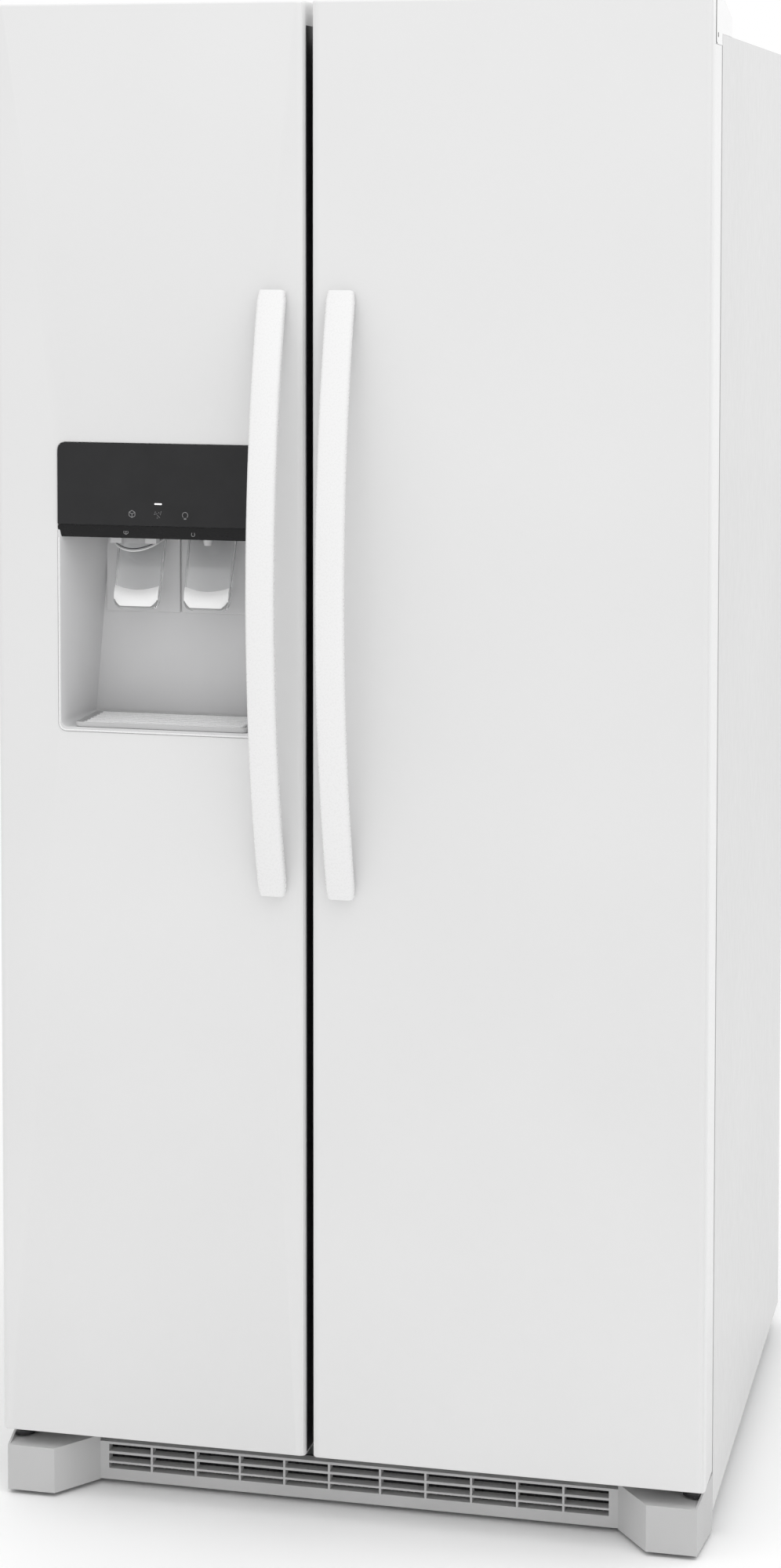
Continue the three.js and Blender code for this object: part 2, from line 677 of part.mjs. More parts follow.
// ---------------------------------------------------------------- dispenser
function dispenser() {
  const x = grow(dispenser_x, -gap);
  const z = grow(dispenser_z, -gap);
  const outer = prism(rounded(x, z, door_edge_radius - gap), "y", door_face + gap,
    recess_back + plastic);
  const floor = dispenser_bottom + 5;
  const mouth = grow(x, -plastic);
  const lower = grow(mouth, -recess_draft + 6);
  const upper = grow(lower, -recess_top_draft);
  const ceiling = panel_bottom - gap;
  const corners = (across, y, height) => across.map((side) => new THREE.Vector3(side, y, height));
  const funnel = solid(new ConvexGeometry([
    ...corners(mouth, door_face - 1, floor), ...corners(mouth, door_face - 1, ceiling),
    ...corners(lower, recess_back, floor), ...corners(upper, recess_back, ceiling),
  ]));
  const plenum = box(mouth, [door_face - 1, recess_back - 8], [panel_bottom - 1, dispenser_top - 6]);
  const shaft = prism(inset(chute_outline, -gap), "x", chute_x[0] - gap, chute_x[1] + gap);
  const pivot = panel_bottom + 2;
  const spout_y = chute_rear - 15;
  const spout = join(
    rod([water_x, spout_y, panel_bottom - 8], [water_x, spout_y, panel_bottom + 25], 5, 12),
    box([water_x - 4, water_x + 4], [spout_y, recess_back - 4], [panel_bottom + 12, panel_bottom + 22]));
  const shell = cut(outer, funnel, plenum, shaft);
  add("dispenser_housing", join(shell, spout), "recess_plastic");

  const panel_outline = [
    [door_face - 1.5, dispenser_top - gap],
    [door_face - 1.5, panel_bottom + panel_band],
    [door_face + 2.5, panel_bottom + gap],
    [door_face + 6.5, panel_bottom + gap],
    [door_face + 6.5, dispenser_top - gap],
  ];
  const panel = prism(panel_outline, "x", x[0], x[1]).intersect(
    prism(rounded(x, [panel_bottom - 20, z[1]], door_edge_radius - gap), "y",
      door_face - 5, door_face + 10));
  const seat = box(grow(x, 1), [door_face + gap / 2, door_face + 10], [dispenser_top - 8, dispenser_top]);
  const rims = [box([x[0] - 1, mouth[0] + gap], [door_face, door_face + 10], [0, 2000]),
    box([mouth[1] - gap, x[1] + 1], [door_face, door_face + 10], [0, 2000])];
  add("control_panel", cut(panel, seat, rims), "black_gloss");

  const hollow = join(prism(inset(chute_outline, chute_wall), "x", chute_x[0] + chute_wall,
    chute_x[1] - chute_wall),
    box(grow(chute_x, -chute_wall), [chute_front + chute_wall, chute_rear - chute_wall],
      [chute_low - 1, chute_low + 10]),
    box(grow(chute_x, -chute_wall), [chute_mouth - 12, chute_mouth + 1],
      [dispenser_top + 44, dispenser_top + 98]));
  add("ice_chute", cut(prism(chute_outline, "x", chute_x[0], chute_x[1]), hollow), "black_plastic");

  const flap_z = panel_bottom + 50;
  const flap_y = [chute_front + chute_wall + 1.5, chute_rear - chute_wall - 4];
  const flap = join(box(grow(chute_x, -chute_wall - 1), flap_y, [flap_z - 1.5, flap_z + 1.5]),
    rod([chute_x[0] + chute_wall + 1, flap_y[1], flap_z], [chute_x[1] - chute_wall - 1, flap_y[1], flap_z],
      2.2, 8));
  add("ice_chute_flap", flap, "black_plastic");

  const plane = door_face + paddle_depth;
  for (const [name, middle] of [["ice_paddle", ice_x], ["water_paddle", water_x]]) {
    const half = paddle_width / 2;
    const outline = [
      [middle + half, pivot + 3],
      [middle - half, pivot + 3],
      ...arc(middle - half + 12, pivot - paddle_drop + 10, 10, 180, 270, 3),
      ...arc(middle + half - 12, pivot - paddle_drop + 10, 10, 270, 360, 3),
    ];
    const plate = prism(outline, "y", plane - 1.5, plane + 1.5).translate([0, -plane, -pivot])
      .rotate([-paddle_lean, 0, 0]).translate([0, plane, pivot]);
    const axle = rod([middle - half - 3, plane, pivot], [middle + half + 3, plane, pivot], 2.5, 8);
    add(name, join(plate, axle), "clear_plastic");
  }

  const tray_x = grow(lower, -3);
  const tray = box(tray_x, [door_face + 3, recess_back - 3], [floor + gap, floor + tray_height]);
  const grooves = [];
  for (let y = door_face + 12; y < recess_back - 12; y += 10) {
    grooves.push(box(grow(tray_x, -10), [y, y + 5], [floor + 3, floor + tray_height + 1]));
  }
  const lean = prism([[door_face + 3, floor + 3], [door_face + 3, floor + tray_height + 1],
    [door_face + 8, floor + tray_height + 1]], "x", tray_x[0] - 1, tray_x[1] + 1);
  add("drip_tray", cut(tray, grooves, lean), "grey_plastic");
}

// ---------------------------------------------------------------- bins, shelves and drawers
// An open box with round upright corners; its front, towards -Y, can be lower than its back.
function tub(x, y, z, wall, radius, lower_front = 0) {
  const outer = prism(rounded(x, y, radius), "z", z[0], z[1]);
  const inner = prism(rounded(grow(x, -wall), grow(y, -wall), radius - wall), "z", z[0] + wall, z[1] + 1);
  const shell = cut(outer, inner);
  if (!lower_front) return shell;
  return cut(shell, box(grow(x, 1), [y[0] - 1, y[0] + radius + 8], [z[1] - lower_front, z[1] + 1]));
}

const bin_y = [door_back + 9, bin_inner];
const fresh_bin_x = grow(fresh_rim_x, -17);
const freezer_bin_x = grow(freezer_rim_x, -17);
const dairy_z = [rim_z[1] - dairy_drop - dairy_height, rim_z[1] - dairy_drop];

function door_bins() {
  const fresh = ["fresh_bin_low", "fresh_bin_high"];
  fresh.forEach((name, i) => {
    const z = compartment_floor + fresh_bin_rises[i];
    add(name, tub(fresh_bin_x, bin_y, [z, z + bin_height], bin_wall, 14), "clear_plastic");
  });
  const room = bulge_z[0] - rim_z[0]; // the two bins share the rim below the dispenser
  const pitch = (room - bin_height) / 2;
  for (const [name, step] of [["freezer_bin_low", 0.3], ["freezer_bin_high", 1.3]]) {
    const z = rim_z[0] + step * pitch;
    add(name, tub(freezer_bin_x, bin_y, [z, z + bin_height], bin_wall, 14), "clear_plastic");
  }
  const y = [bin_y[0], bin_y[1] - 6];
  const outer = box(fresh_bin_x, y, dairy_z);
  const inner = box(grow(fresh_bin_x, -bin_wall), [y[0] + bin_wall, y[1] + 1], grow(dairy_z, -bin_wall));
  add("dairy_box", cut(outer, inner), "clear_plastic");
  const lid_y = [y[1] + 2 * move_gap, y[1] + 2 * move_gap + 3];
  const pin_z = dairy_z[1] - 3;
  const lid = join(box(grow(fresh_bin_x, -1), lid_y, [dairy_z[0] + 12, dairy_z[1]]),
    rod([fresh_bin_x[0] + 1, lid_y[1] + 0.5, pin_z], [fresh_bin_x[1] - 1, lid_y[1] + 0.5, pin_z], 3, 8));
  add("dairy_lid", lid, "clear_plastic");
}

const shelf_x = grow(fresh_x, -4);
const shelf_back = compartment_back - 25;
const drawer_back = hump_y - 6;
const crisper_z = [[compartment_floor + 6, hump_top - 12], [hump_top + 6, hump_top + 150]];
const upper_drawer_back = compartment_back - 40;

function fresh_food_fittings() {
  const y = [shelf_front, shelf_back];
  ["glass_shelf_low", "glass_shelf_middle", "glass_shelf_high"].forEach((name, i) => {
    const z = compartment_floor + fresh_shelf_rises[i];
    const frame = cut(box(shelf_x, y, [z - 10, z + 6]),
      box(grow(shelf_x, -12), grow(y, -14), [z - 11, z + 7]));
    const pane = box(grow(shelf_x, -11), grow(y, -13), [z, z + glass]);
    const lip = box(shelf_x, [y[0], y[0] + 6], [z - 16, z + 10]);
    add(name, join(frame, pane, lip), "glass");
  });
  const cover_z = crisper_z[1][1] + 22;
  const cover = join(box(shelf_x, y, [cover_z, cover_z + glass + 2]),
    box(shelf_x, [y[0], y[0] + 14], [cover_z - 12, cover_z + 2]));
  add("crisper_cover", cover, "glass");
  const drawer_x = grow(fresh_x, -12);
  const backs = [drawer_back, upper_drawer_back];
  ["lower_crisper", "upper_crisper"].forEach((name, i) => {
    const z = crisper_z[i];
    const body = tub(drawer_x, [shelf_front + 6, backs[i]], z, bin_wall, 12);
    const front = box(grow(drawer_x, 4), [shelf_front, shelf_front + 6 + bin_wall], [z[0], z[1] + 4]);
    const grip = box([drawer_x[0] + 90, drawer_x[1] - 90], [shelf_front - 1, shelf_front + 4],
      [z[1] - 26, z[1] - 8]);
    add(name, cut(join(body, front), grip), "clear_plastic");
  });
  const housing_x = grow(fresh_x, -70);
  const housing = prism([
    [shelf_front + 70, compartment_top - gap], [shelf_front + 70, compartment_top - 48],
    [shelf_front + 90, compartment_top - 62], [compartment_back - 120, compartment_top - 62],
    [compartment_back - 60, compartment_top - gap]], "x", housing_x[0], housing_x[1]);
  add("control_housing", housing, "white_plastic");
}

function freezer_fittings() {
  const cover_y = [compartment_back - 58, compartment_back - 55];
  const cover_z = [hump_top + 150, compartment_top - evaporator_cover_drop];
  const fan_z = cover_z[1] - 110;
  const fan_x = (freezer_x[0] + freezer_x[1]) / 2;
  const slots = [];
  for (const z of [hump_top + 180, hump_top + 205, hump_top + 230]) {
    slots.push(box([fan_x - 100, fan_x + 100], grow(cover_y, 1), [z, z + 10]));
  }
  for (let i = -3; i <= 3; i += 1) {
    slots.push(box([fan_x - 46, fan_x + 46], grow(cover_y, 1), [fan_z + i * 15 - 4, fan_z + i * 15 + 4]));
  }
  const plate = join(box(grow(freezer_x, -4), cover_y, cover_z),
    box(grow(freezer_x, -4), [cover_y[0], compartment_back - gap], [cover_z[1] - 3, cover_z[1]]));
  const motor = rod([fan_x, compartment_back - 22, fan_z],
    [fan_x, compartment_back - gap - 0.5, fan_z], 22, 16);
  const legs = box([fan_x - 4, fan_x + 4], [compartment_back - 12, compartment_back - 4],
    [fan_z, cover_z[1] - 1]);
  add("evaporator_cover", join(cut(plate, slots), motor, legs), "white_plastic");
  const blades = fan_blades([fan_x, compartment_back - 30, fan_z], "y", evaporator_fan_radius, 5);
  add("evaporator_fan", blades, "black_plastic");

  const fins = [];
  const fin_z = [cover_z[0] + 140, fan_z - 110];
  const tube_pitch = (fin_z[1] - fin_z[0]) / 4;
  for (let x = freezer_x[0] + 30; x < freezer_x[1] - 25; x += 28) {
    fins.push(box([x, x + 2], [compartment_back - 48, compartment_back - 8], fin_z));
  }
  for (let i = 0; i < 4; i += 1) {
    const z = fin_z[0] + (i + 0.5) * tube_pitch;
    fins.push(rod([freezer_x[0] + 20, compartment_back - 28, z],
      [freezer_x[1] - 20, compartment_back - 28, z], 4, 5));
  }
  add("evaporator", join(fins), "aluminium");

  const wire_x = grow(freezer_x, -5);
  const back = cover_y[0] - 8;
  ["freezer_shelf_low", "freezer_shelf_high"].forEach((name, i) => {
    const z = compartment_floor + freezer_shelf_rises[i];
    add(name, wire_shelf(wire_x, [shelf_front, back], z), "wire");
  });
  const basket_x = grow(freezer_x, -12);
  add("freezer_basket", wire_basket(basket_x, [shelf_front, drawer_back - 6],
    [compartment_floor + 8, compartment_floor + 8 + basket_height]), "wire");
}

// A wire shelf: two long edge bars, cross bars at the ends and wires from front to back.
function wire_shelf(x, y, z) {
  const bars = [];
  for (const end of [x[0] + 3, x[1] - 3]) bars.push(box([end - 3, end + 3], y, [z - 3, z + 3]));
  for (const end of [y[0] + 4, (y[0] + y[1]) / 2, y[1] - 4]) {
    bars.push(box(grow(x, -1), [end - 3, end + 3], [z - 2.5, z + 2.5]));
  }
  const count = 9;
  for (let i = 1; i < count; i += 1) {
    const across = Math.round(x[0] + ((x[1] - x[0]) * i) / count);
    bars.push(box([across - 1.5, across + 1.5], [y[0] + 2, y[1] - 2], [z + 1, z + 4.5]));
  }
  return join(bars);
}

// A wire basket: a solid floor rim and top rim joined by upright and long wires.
function wire_basket(x, y, z) {
  const ring = (low, high, wall) => cut(box(x, y, [low, high]),
    box(grow(x, -wall), grow(y, -wall), [low - 1, high + 1]));
  const waist = (z[0] + z[1]) / 2;
  const bars = [ring(z[1] - 6, z[1], 6), ring(z[0], z[0] + 5, 5), ring(waist, waist + 4, 4)];
  const spread = (range, count) => Array.from({ length: count }, (_, i) =>
    range[0] + 2 + ((range[1] - range[0] - 4) * i) / (count - 1));
  for (const across of spread(x, 6)) {
    bars.push(box([across - 2, across + 2], y, [z[0], z[0] + 4]));
    for (const end of [y[0] + 2, y[1] - 2]) {
      bars.push(box([across - 2, across + 2], [end - 2, end + 2], [z[0], z[1] - 1]));
    }
  }
  for (const along of spread(y, 6)) {
    for (const end of [x[0] + 2, x[1] - 2]) {
      bars.push(box([end - 2, end + 2], [along - 2, along + 2], [z[0], z[1] - 1]));
    }
  }
  return join(bars);
}

// ---------------------------------------------------------------- ice maker and ice bin
const ice_bin_floor = compartment_top - ice_bin_drop;
const bin_z = [ice_bin_floor, ice_bin_floor + ice_bin_height];
const ice_bin_x = grow(freezer_x, -10);
const ice_bin_y = [shelf_front, compartment_back - 120];
const auger_z = ice_bin_floor + auger_rise;
const auger_x = (freezer_x[0] + freezer_x[1]) / 2;

function ice_system() {
  const trough = tub(ice_bin_x, ice_bin_y, bin_z, plastic, 16);
  const outlet = box([auger_x - 40, auger_x + 40], [shelf_front + 14, shelf_front + 60],
    [bin_z[0] - 1, bin_z[0] + plastic + 1]);
  const drive = rod([auger_x, ice_bin_y[1] - plastic - 1, auger_z],
    [auger_x, ice_bin_y[1] + 1, auger_z], 9, 12);
  add("ice_bin", cut(trough, outlet, drive), "clear_plastic");

  const start = ice_bin_y[0] + 24;
  const end = ice_bin_y[1] - 26;
  class Helix extends THREE.Curve {
    getPoint(t, target = new THREE.Vector3()) {
      const angle = t * auger_turns * 2 * Math.PI;
      return target.set(auger_x + auger_radius * Math.cos(angle), start + (end - start) * t,
        auger_z + auger_radius * Math.sin(angle));
    }
  }
  const section = new THREE.Shape(arc(0, 0, 5, 0, 300, 5).map(([a, b]) => new THREE.Vector2(a, b)));
  const spiral = new THREE.ExtrudeGeometry(section, { steps: 42, extrudePath: new Helix(),
    bevelEnabled: false });
  const shaft = rod([auger_x, start - 6, auger_z], [auger_x, end + 10, auger_z], 7, 10);
  const front_arm = rod([auger_x, start, auger_z], [auger_x + auger_radius, start, auger_z], 5, 6);
  const last = auger_turns * 2 * Math.PI;
  const rear_arm = rod([auger_x, end, auger_z], [auger_x + auger_radius * Math.cos(last), end,
    auger_z + auger_radius * Math.sin(last)], 5, 6);
  add("ice_auger", join(solid(spiral), shaft, front_arm, rear_arm), "aluminium");

  const maker_x = [freezer_x[0] + 12, freezer_x[0] + 12 + ice_maker_width];
  const maker_y = [shelf_front + 60, compartment_back - 100];
  const maker_z = [compartment_top - ice_maker_drop, compartment_top - 12];
  const head = box(maker_x, [maker_y[0], maker_y[0] + 60], maker_z);
  const mould = box(maker_x, [maker_y[0] + 50, maker_y[1]], [maker_z[0] + 25, maker_z[0] + 70]);
  const bracket = box([freezer_x[0] + gap, maker_x[0] + 4], [maker_y[0] + 20, maker_y[1] - 20],
    [maker_z[0] + 45, maker_z[1]]);
  const cups = [];
  for (let y = maker_y[0] + 66; y < maker_y[1] - 30; y += 34) {
    cups.push(box([maker_x[0] + 18, maker_x[1] - 8], [y, y + 28], [maker_z[0] + 40, maker_z[0] + 80]));
  }
  add("ice_maker", join(head, cut(mould, cups), bracket), "grey_plastic");

  const arm_x = maker_x[1] + 6;
  const arm_z = maker_z[0] + 40;
  const arm_y = [maker_y[0] + 20, maker_y[1] - 60];
  const wire = [[arm_x, arm_y[0], arm_z], [arm_x + 34, arm_y[0], arm_z - 48],
    [arm_x + 34, arm_y[1], arm_z - 48], [arm_x, arm_y[1], arm_z]];
  const bars = [rod([arm_x, arm_y[0] - 8, arm_z], [arm_x, arm_y[0] + 3, arm_z], 3, 8),
    rod([arm_x, arm_y[1] - 3, arm_z], [arm_x, arm_y[1] + 8, arm_z], 3, 8)];
  for (let i = 0; i < 3; i += 1) bars.push(rod(wire[i], wire[i + 1], 2.5, 8));
  for (const corner of wire.slice(1, 3)) bars.push(box(...corner.map((c) => [c - 2.5, c + 2.5])));
  add("ice_feeler_arm", join(bars), "zinc");
}

// Fan blades on a hub: thin plates set at an angle round an axis along x or y.
function fan_blades(centre, axis, radius, count) {
  const hub = rod([0, -7, 0], [0, 7, 0], radius * 0.3, 12);
  const pieces = [hub];
  for (let i = 0; i < count; i += 1) {
    const blade = new THREE.BoxGeometry(radius * 0.75, 2, radius * 0.5);
    blade.rotateX(0.5);
    blade.translate(radius * 0.62, 0, 0);
    blade.rotateY((i * 2 * Math.PI) / count);
    pieces.push(solid(blade));
  }
  const fan = join(pieces);
  const turned_fan = axis === "x" ? fan.rotate([0, 0, 90]) : fan;
  return turned_fan.translate(centre);
}

// ---------------------------------------------------------------- compressor space
function machine_space() {
  const floor = cabinet_bottom + 3 + gap;
  const y = back_y - machine_depth;
  const pot_x = -half_width + compressor_inset;
  const pot = turned([[0, floor + 12], [62, floor + 12], [84, floor + 30], [90, floor + 60],
    [90, floor + 110], [80, floor + 145], [50, floor + 168], [0, floor + 176]], pot_x, y + 140, 24);
  const foot = box([pot_x - 95, pot_x + 95], [y + 55, y + 225], [floor + 4, floor + 10]);
  const post = rod([pot_x, y + 140, floor + 8], [pot_x, y + 140, floor + 20], 50, 16);
  const pads = [];
  for (const x of [pot_x - 80, pot_x + 80]) {
    for (const along of [y + 70, y + 210]) {
      pads.push(rod([x, along, floor], [x, along, floor + 8], 11, 10));
    }
  }
  add("compressor", join(pot, foot, post, pads), "black_paint");

  const pan_z = [floor, floor + 34];
  const coil_x = [half_width - condenser_inset - condenser_width, half_width - condenser_inset];
  add("drain_pan", tub([coil_x[0] - 30, coil_x[1] + 20], [y + 30, y + 215], pan_z, bin_wall, 12),
    "black_plastic");

  const coil_z = [floor + 46, floor + 206];
  const fins = [];
  const fin_count = 8;
  for (let i = 0; i <= fin_count; i += 1) {
    const x = coil_x[0] + ((coil_x[1] - coil_x[0]) * i) / fin_count;
    fins.push(box([x - 1, x + 1], [y + 60, y + 190], coil_z));
  }
  for (let row = 0; row < 3; row += 1) {
    for (const along of [y + 90, y + 160]) {
      const z = coil_z[0] + 28 + row * 52;
      fins.push(rod([coil_x[0] - 8, along, z], [coil_x[1] + 8, along, z], 4, 5));
    }
  }
  const shroud_x = [coil_x[0] - 12, coil_x[0] + 1];
  const middle = [y + 125, (coil_z[0] + coil_z[1]) / 2];
  const hole = rod([0, middle[0], middle[1]], [coil_x[0] - 1, middle[0], middle[1]], 66, 24);
  const shroud = cut(box(shroud_x, [y + 40, y + 210], coil_z), hole,
    rod([coil_x[0] - 4, middle[0], middle[1]], [coil_x[0] - 0.5, middle[0], middle[1]], 66, 24));
  const motor = rod([coil_x[0] - 14, middle[0], middle[1]], [coil_x[0] + 1, middle[0], middle[1]], 20, 16);
  const feet = [box([coil_x[0] - 12, coil_x[0] + 1], [y + 8, y + 60], [coil_z[0], coil_z[0] + 12]),
    box([coil_x[0] - 12, coil_x[0] + 1], [y + 8, y + 20], [floor, coil_z[0] + 12])];
  add("condenser", join(fins, shroud, motor, feet), "black_paint");
  const blades = fan_blades([coil_x[0] - 23, middle[0], middle[1]], "x", condenser_fan_radius, 5);
  add("condenser_fan", blades, "black_plastic");
}

cabinet_wrapper();
liners();
cabinet_foam();
rear_covers();
base_frame();
rollers();
toe_grille();
hinges();
door_skins();
door_liners();
door_gaskets();
handles();
dispenser();
door_bins();
fresh_food_fittings();
freezer_fittings();
ice_system();
machine_space();

export default root;
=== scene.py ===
"""A side by side refrigerator: freezer on the left with an ice and water dispenser in its door,
fresh food on the right, bowed handles and a slotted toe grille. Metres, +Z up, doors facing -Y."""

import json
import math

import bmesh
import bpy
import numpy as np
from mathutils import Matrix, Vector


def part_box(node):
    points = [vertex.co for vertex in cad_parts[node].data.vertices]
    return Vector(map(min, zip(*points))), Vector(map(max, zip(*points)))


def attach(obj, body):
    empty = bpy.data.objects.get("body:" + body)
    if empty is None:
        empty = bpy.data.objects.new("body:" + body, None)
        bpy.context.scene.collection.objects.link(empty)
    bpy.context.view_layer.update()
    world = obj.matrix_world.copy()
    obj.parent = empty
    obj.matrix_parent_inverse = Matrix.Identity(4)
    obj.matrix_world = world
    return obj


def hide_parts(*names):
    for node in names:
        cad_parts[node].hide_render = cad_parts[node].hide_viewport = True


bl_info = {
    "name": "Side by side refrigerator",
    "version": (1, 0, 0),
    "blender": (4, 5, 0),
    "location": "View3D > Sidebar > Refrigerator",
    "description": "Builds a side by side refrigerator piece by piece round its mechanical frame",
    "category": "Object",
}

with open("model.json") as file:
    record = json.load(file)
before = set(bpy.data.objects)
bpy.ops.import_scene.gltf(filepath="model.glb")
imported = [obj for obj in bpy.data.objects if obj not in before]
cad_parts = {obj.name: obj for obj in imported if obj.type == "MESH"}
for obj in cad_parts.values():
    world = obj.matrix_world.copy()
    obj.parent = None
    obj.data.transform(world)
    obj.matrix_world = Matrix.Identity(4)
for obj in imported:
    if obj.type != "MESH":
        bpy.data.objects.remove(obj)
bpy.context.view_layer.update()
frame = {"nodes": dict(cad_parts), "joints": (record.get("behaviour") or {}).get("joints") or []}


def limits(node):
    """A CAD node's (low, high) along x, y and z."""
    low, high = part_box(node)
    return [(low[k], high[k]) for k in range(3)]


JOINT_AT = {joint["name"]: joint.get("pos_m") for joint in frame["joints"]}
DOORS = {
    "freezer": ("freezer_door", -1),
    "fresh_food": ("fresh_food_door", 1),
}
DOOR_Y = limits("fresh_food_door_skin")[1]
FACE = DOOR_Y[0]
HINGE_INSET = 0.014  # the hinge line's distance from the door's side
NOTCH_RADIUS = 0.025
NOTCH_HEIGHT = 0.0533
SHEET = 0.002  # thickness of the doors' skin
HAIR = 0.0003  # the smallest gap left between neighbours
WELD = 2e-6  # points nearer than this become one

HOUSING = limits("dispenser_housing")
PANEL = limits("control_panel")
DRIP = limits("drip_tray")
RECESS_FLOOR = DRIP[2][0] - HAIR
RECESS_TOP = PANEL[2][0] - 0.0006
RECESS_WALL = 0.003
RECESS_BACK = HOUSING[1][1] - RECESS_WALL
RECESS_HEAD = HOUSING[2][1] - 0.006  # where the recess's walls end above
PADDLE_LEAN = math.radians(20.0)

FLOOR_HALF = 14.0
LAMPS = [  # name, place, what it faces, size, watts
    ("top_softbox", (0.9, -1.2, 4.2), (0.1, 0.0, 0.9), 3.0, 30.0),
    ("side_softbox", (2.0, 0.5, 2.5), (0.42, 0.1, 1.5), 1.2, 5.0)]
CAMERA_AT = (0.8641, -3.9779, 1.5632)
CAMERA_DOWN, CAMERA_LEFT = 3.5, 13.553  # degrees
LENS, SENSOR = 75.05, 36.0
SHIFT = (0.0329, -0.2587)
FAR_CLIP = 60.0


# ---------------------------------------------------------------- surfaces
def grow(pair, by):
    """A (low, high) pair moved apart by a distance on each side."""
    return (pair[0] - by, pair[1] + by)


def about(at, half):
    """The (low, high) pair that reaches a half width to either side of a place."""
    return (at - half, at + half)


def mid(pair):
    """The middle of a (low, high) pair."""
    return (pair[0] + pair[1]) / 2


def hanging(ends, top, bottom):
    """A U in its own plane: down from the top, along the bottom and up again."""
    return [(ends[0], top), (ends[0], bottom), (ends[1], bottom), (ends[1], top)]


def outline_box(x, y, corner, steps=5):
    """A rectangle with round corners: each corner's points go a quarter turn round its centre. The
    corner is one radius, or four from the high corner on, turning left."""
    turn = np.linspace(0.0, math.pi / 2, steps + 1)
    radii = np.broadcast_to(np.asarray(corner, float), (4,))
    ends = [(x[1], y[1]), (x[0], y[1]), (x[0], y[0]), (x[1], y[0])]
    signs = [(-1, -1), (1, -1), (1, 1), (-1, 1)]
    parts = []
    for k, (end, sign, radius) in enumerate(zip(ends, signs, radii)):
        angle = turn + k * math.pi / 2
        parts.append(np.stack([end[0] + sign[0] * radius + radius * np.cos(angle),
                               end[1] + sign[1] * radius + radius * np.sin(angle)], 1))
    return np.concatenate(parts)


def placed(outline, axis, at):
    """A flat outline set across an axis: its two columns are the other two axes in order."""
    points = np.zeros((len(outline), 3))
    others = [k for k in range(3) if k != axis]
    points[:, others[0]] = outline[:, 0]
    points[:, others[1]] = outline[:, 1]
    points[:, axis] = at
    return points


def loft(rings, looped=False):
    """Faces between neighbouring rings: point j of ring i joins point j + 1 and the same two points
    of ring i + 1. The first and last rings are filled, or joined to each other when looped."""
    rings = np.asarray(rings, float)
    count, size = rings.shape[:2]
    i, j = np.meshgrid(np.arange(count if looped else count - 1), np.arange(size), indexing="ij")
    i, j = i.ravel(), j.ravel()
    after, along = (i + 1) % count, (j + 1) % size
    quads = np.stack([i * size + j, i * size + along, after * size + along, after * size + j], 1)
    faces = quads.tolist()
    if not looped:
        faces.append(list(range(size))[::-1])
        faces.append(list(range((count - 1) * size, count * size)))
    return rings.reshape(-1, 3), faces


def block(x, y, z, corner=0.003, edge=0.001, axis=2, steps=4, turns=5):
    """A block with round corners and round edges. Ring t is the corner outline drawn in by
    e(1 - sin t) and standing e(1 - cos t) in from the end, for t from 0 to a quarter turn."""
    pairs = [x, y, z]
    u, v = [pairs[k] for k in range(3) if k != axis]
    low, high = pairs[axis]
    angles = np.linspace(0.0, math.pi / 2, steps)
    rings = []
    for end, side in ((low, 1), (high, -1)):
        for t in angles if side > 0 else angles[::-1]:
            inset = edge * (1 - math.sin(t))
            radii = np.maximum(corner - inset, np.multiply(corner, 0.2))
            ring = outline_box(grow(u, -inset), grow(v, -inset), radii, turns)
            rings.append(placed(ring, axis, end + side * edge * (1 - math.cos(t))))
    return loft(rings)


def tray(x, y, z, wall, corner, edge=0.002, draft=0.0):
    """An open box. Its rings go up the outside, over a round rim and down the inside, and the side
    walls lean in towards the floor by the draft."""
    quarter = np.linspace(0.0, math.pi / 2, 4)
    half = np.linspace(0.0, math.pi, 7)
    rings = []

    def ring(inset, height, rounding):
        lean = draft * (z[1] - height) / (z[1] - z[0])
        away = inset + lean
        rings.append(placed(outline_box(grow(x, -away), grow(y, -away), max(rounding, 0.0008)),
                            2, height))

    for t in quarter:
        ring(edge * (1 - math.sin(t)), z[0] + edge * (1 - math.cos(t)), corner)
    for t in half:
        ring(wall / 2 * (1 - math.cos(t)), z[1] - wall / 2 * (1 - math.sin(t)), corner)
    for t in quarter[::-1]:
        ring(wall + edge * (1 - math.sin(t)), z[0] + wall + edge * (1 - math.cos(t)),
             corner - wall)
    return loft(rings)


def tube(path, radius, sides=8, looped=False):
    """A round bar along a path: ring i is a circle across the path's direction at point i, whose
    sides are kept in line by carrying one normal along the path."""
    path = np.asarray(path, float)
    if looped:
        tangent = np.roll(path, -1, 0) - np.roll(path, 1, 0)
    else:
        tangent = np.gradient(path, axis=0)
    tangent /= np.linalg.norm(tangent, axis=1)[:, None]
    hint = np.array([0.0, 0.0, 1.0]) if abs(tangent[0, 2]) < 0.9 else np.array([1.0, 0.0, 0.0])
    normals = []
    for direction in tangent:
        hint = hint - direction * hint.dot(direction)
        hint = hint / np.linalg.norm(hint)
        normals.append(hint)
    normals = np.array(normals)
    across = np.cross(tangent, normals)
    angle = np.linspace(0.0, 2 * math.pi, sides, endpoint=False)
    radii = np.broadcast_to(np.asarray(radius, float), (len(path),))[:, None, None]
    rings = (path[:, None] + radii * (np.cos(angle)[None, :, None] * normals[:, None]
                                      + np.sin(angle)[None, :, None] * across[:, None]))
    return loft(rings, looped)


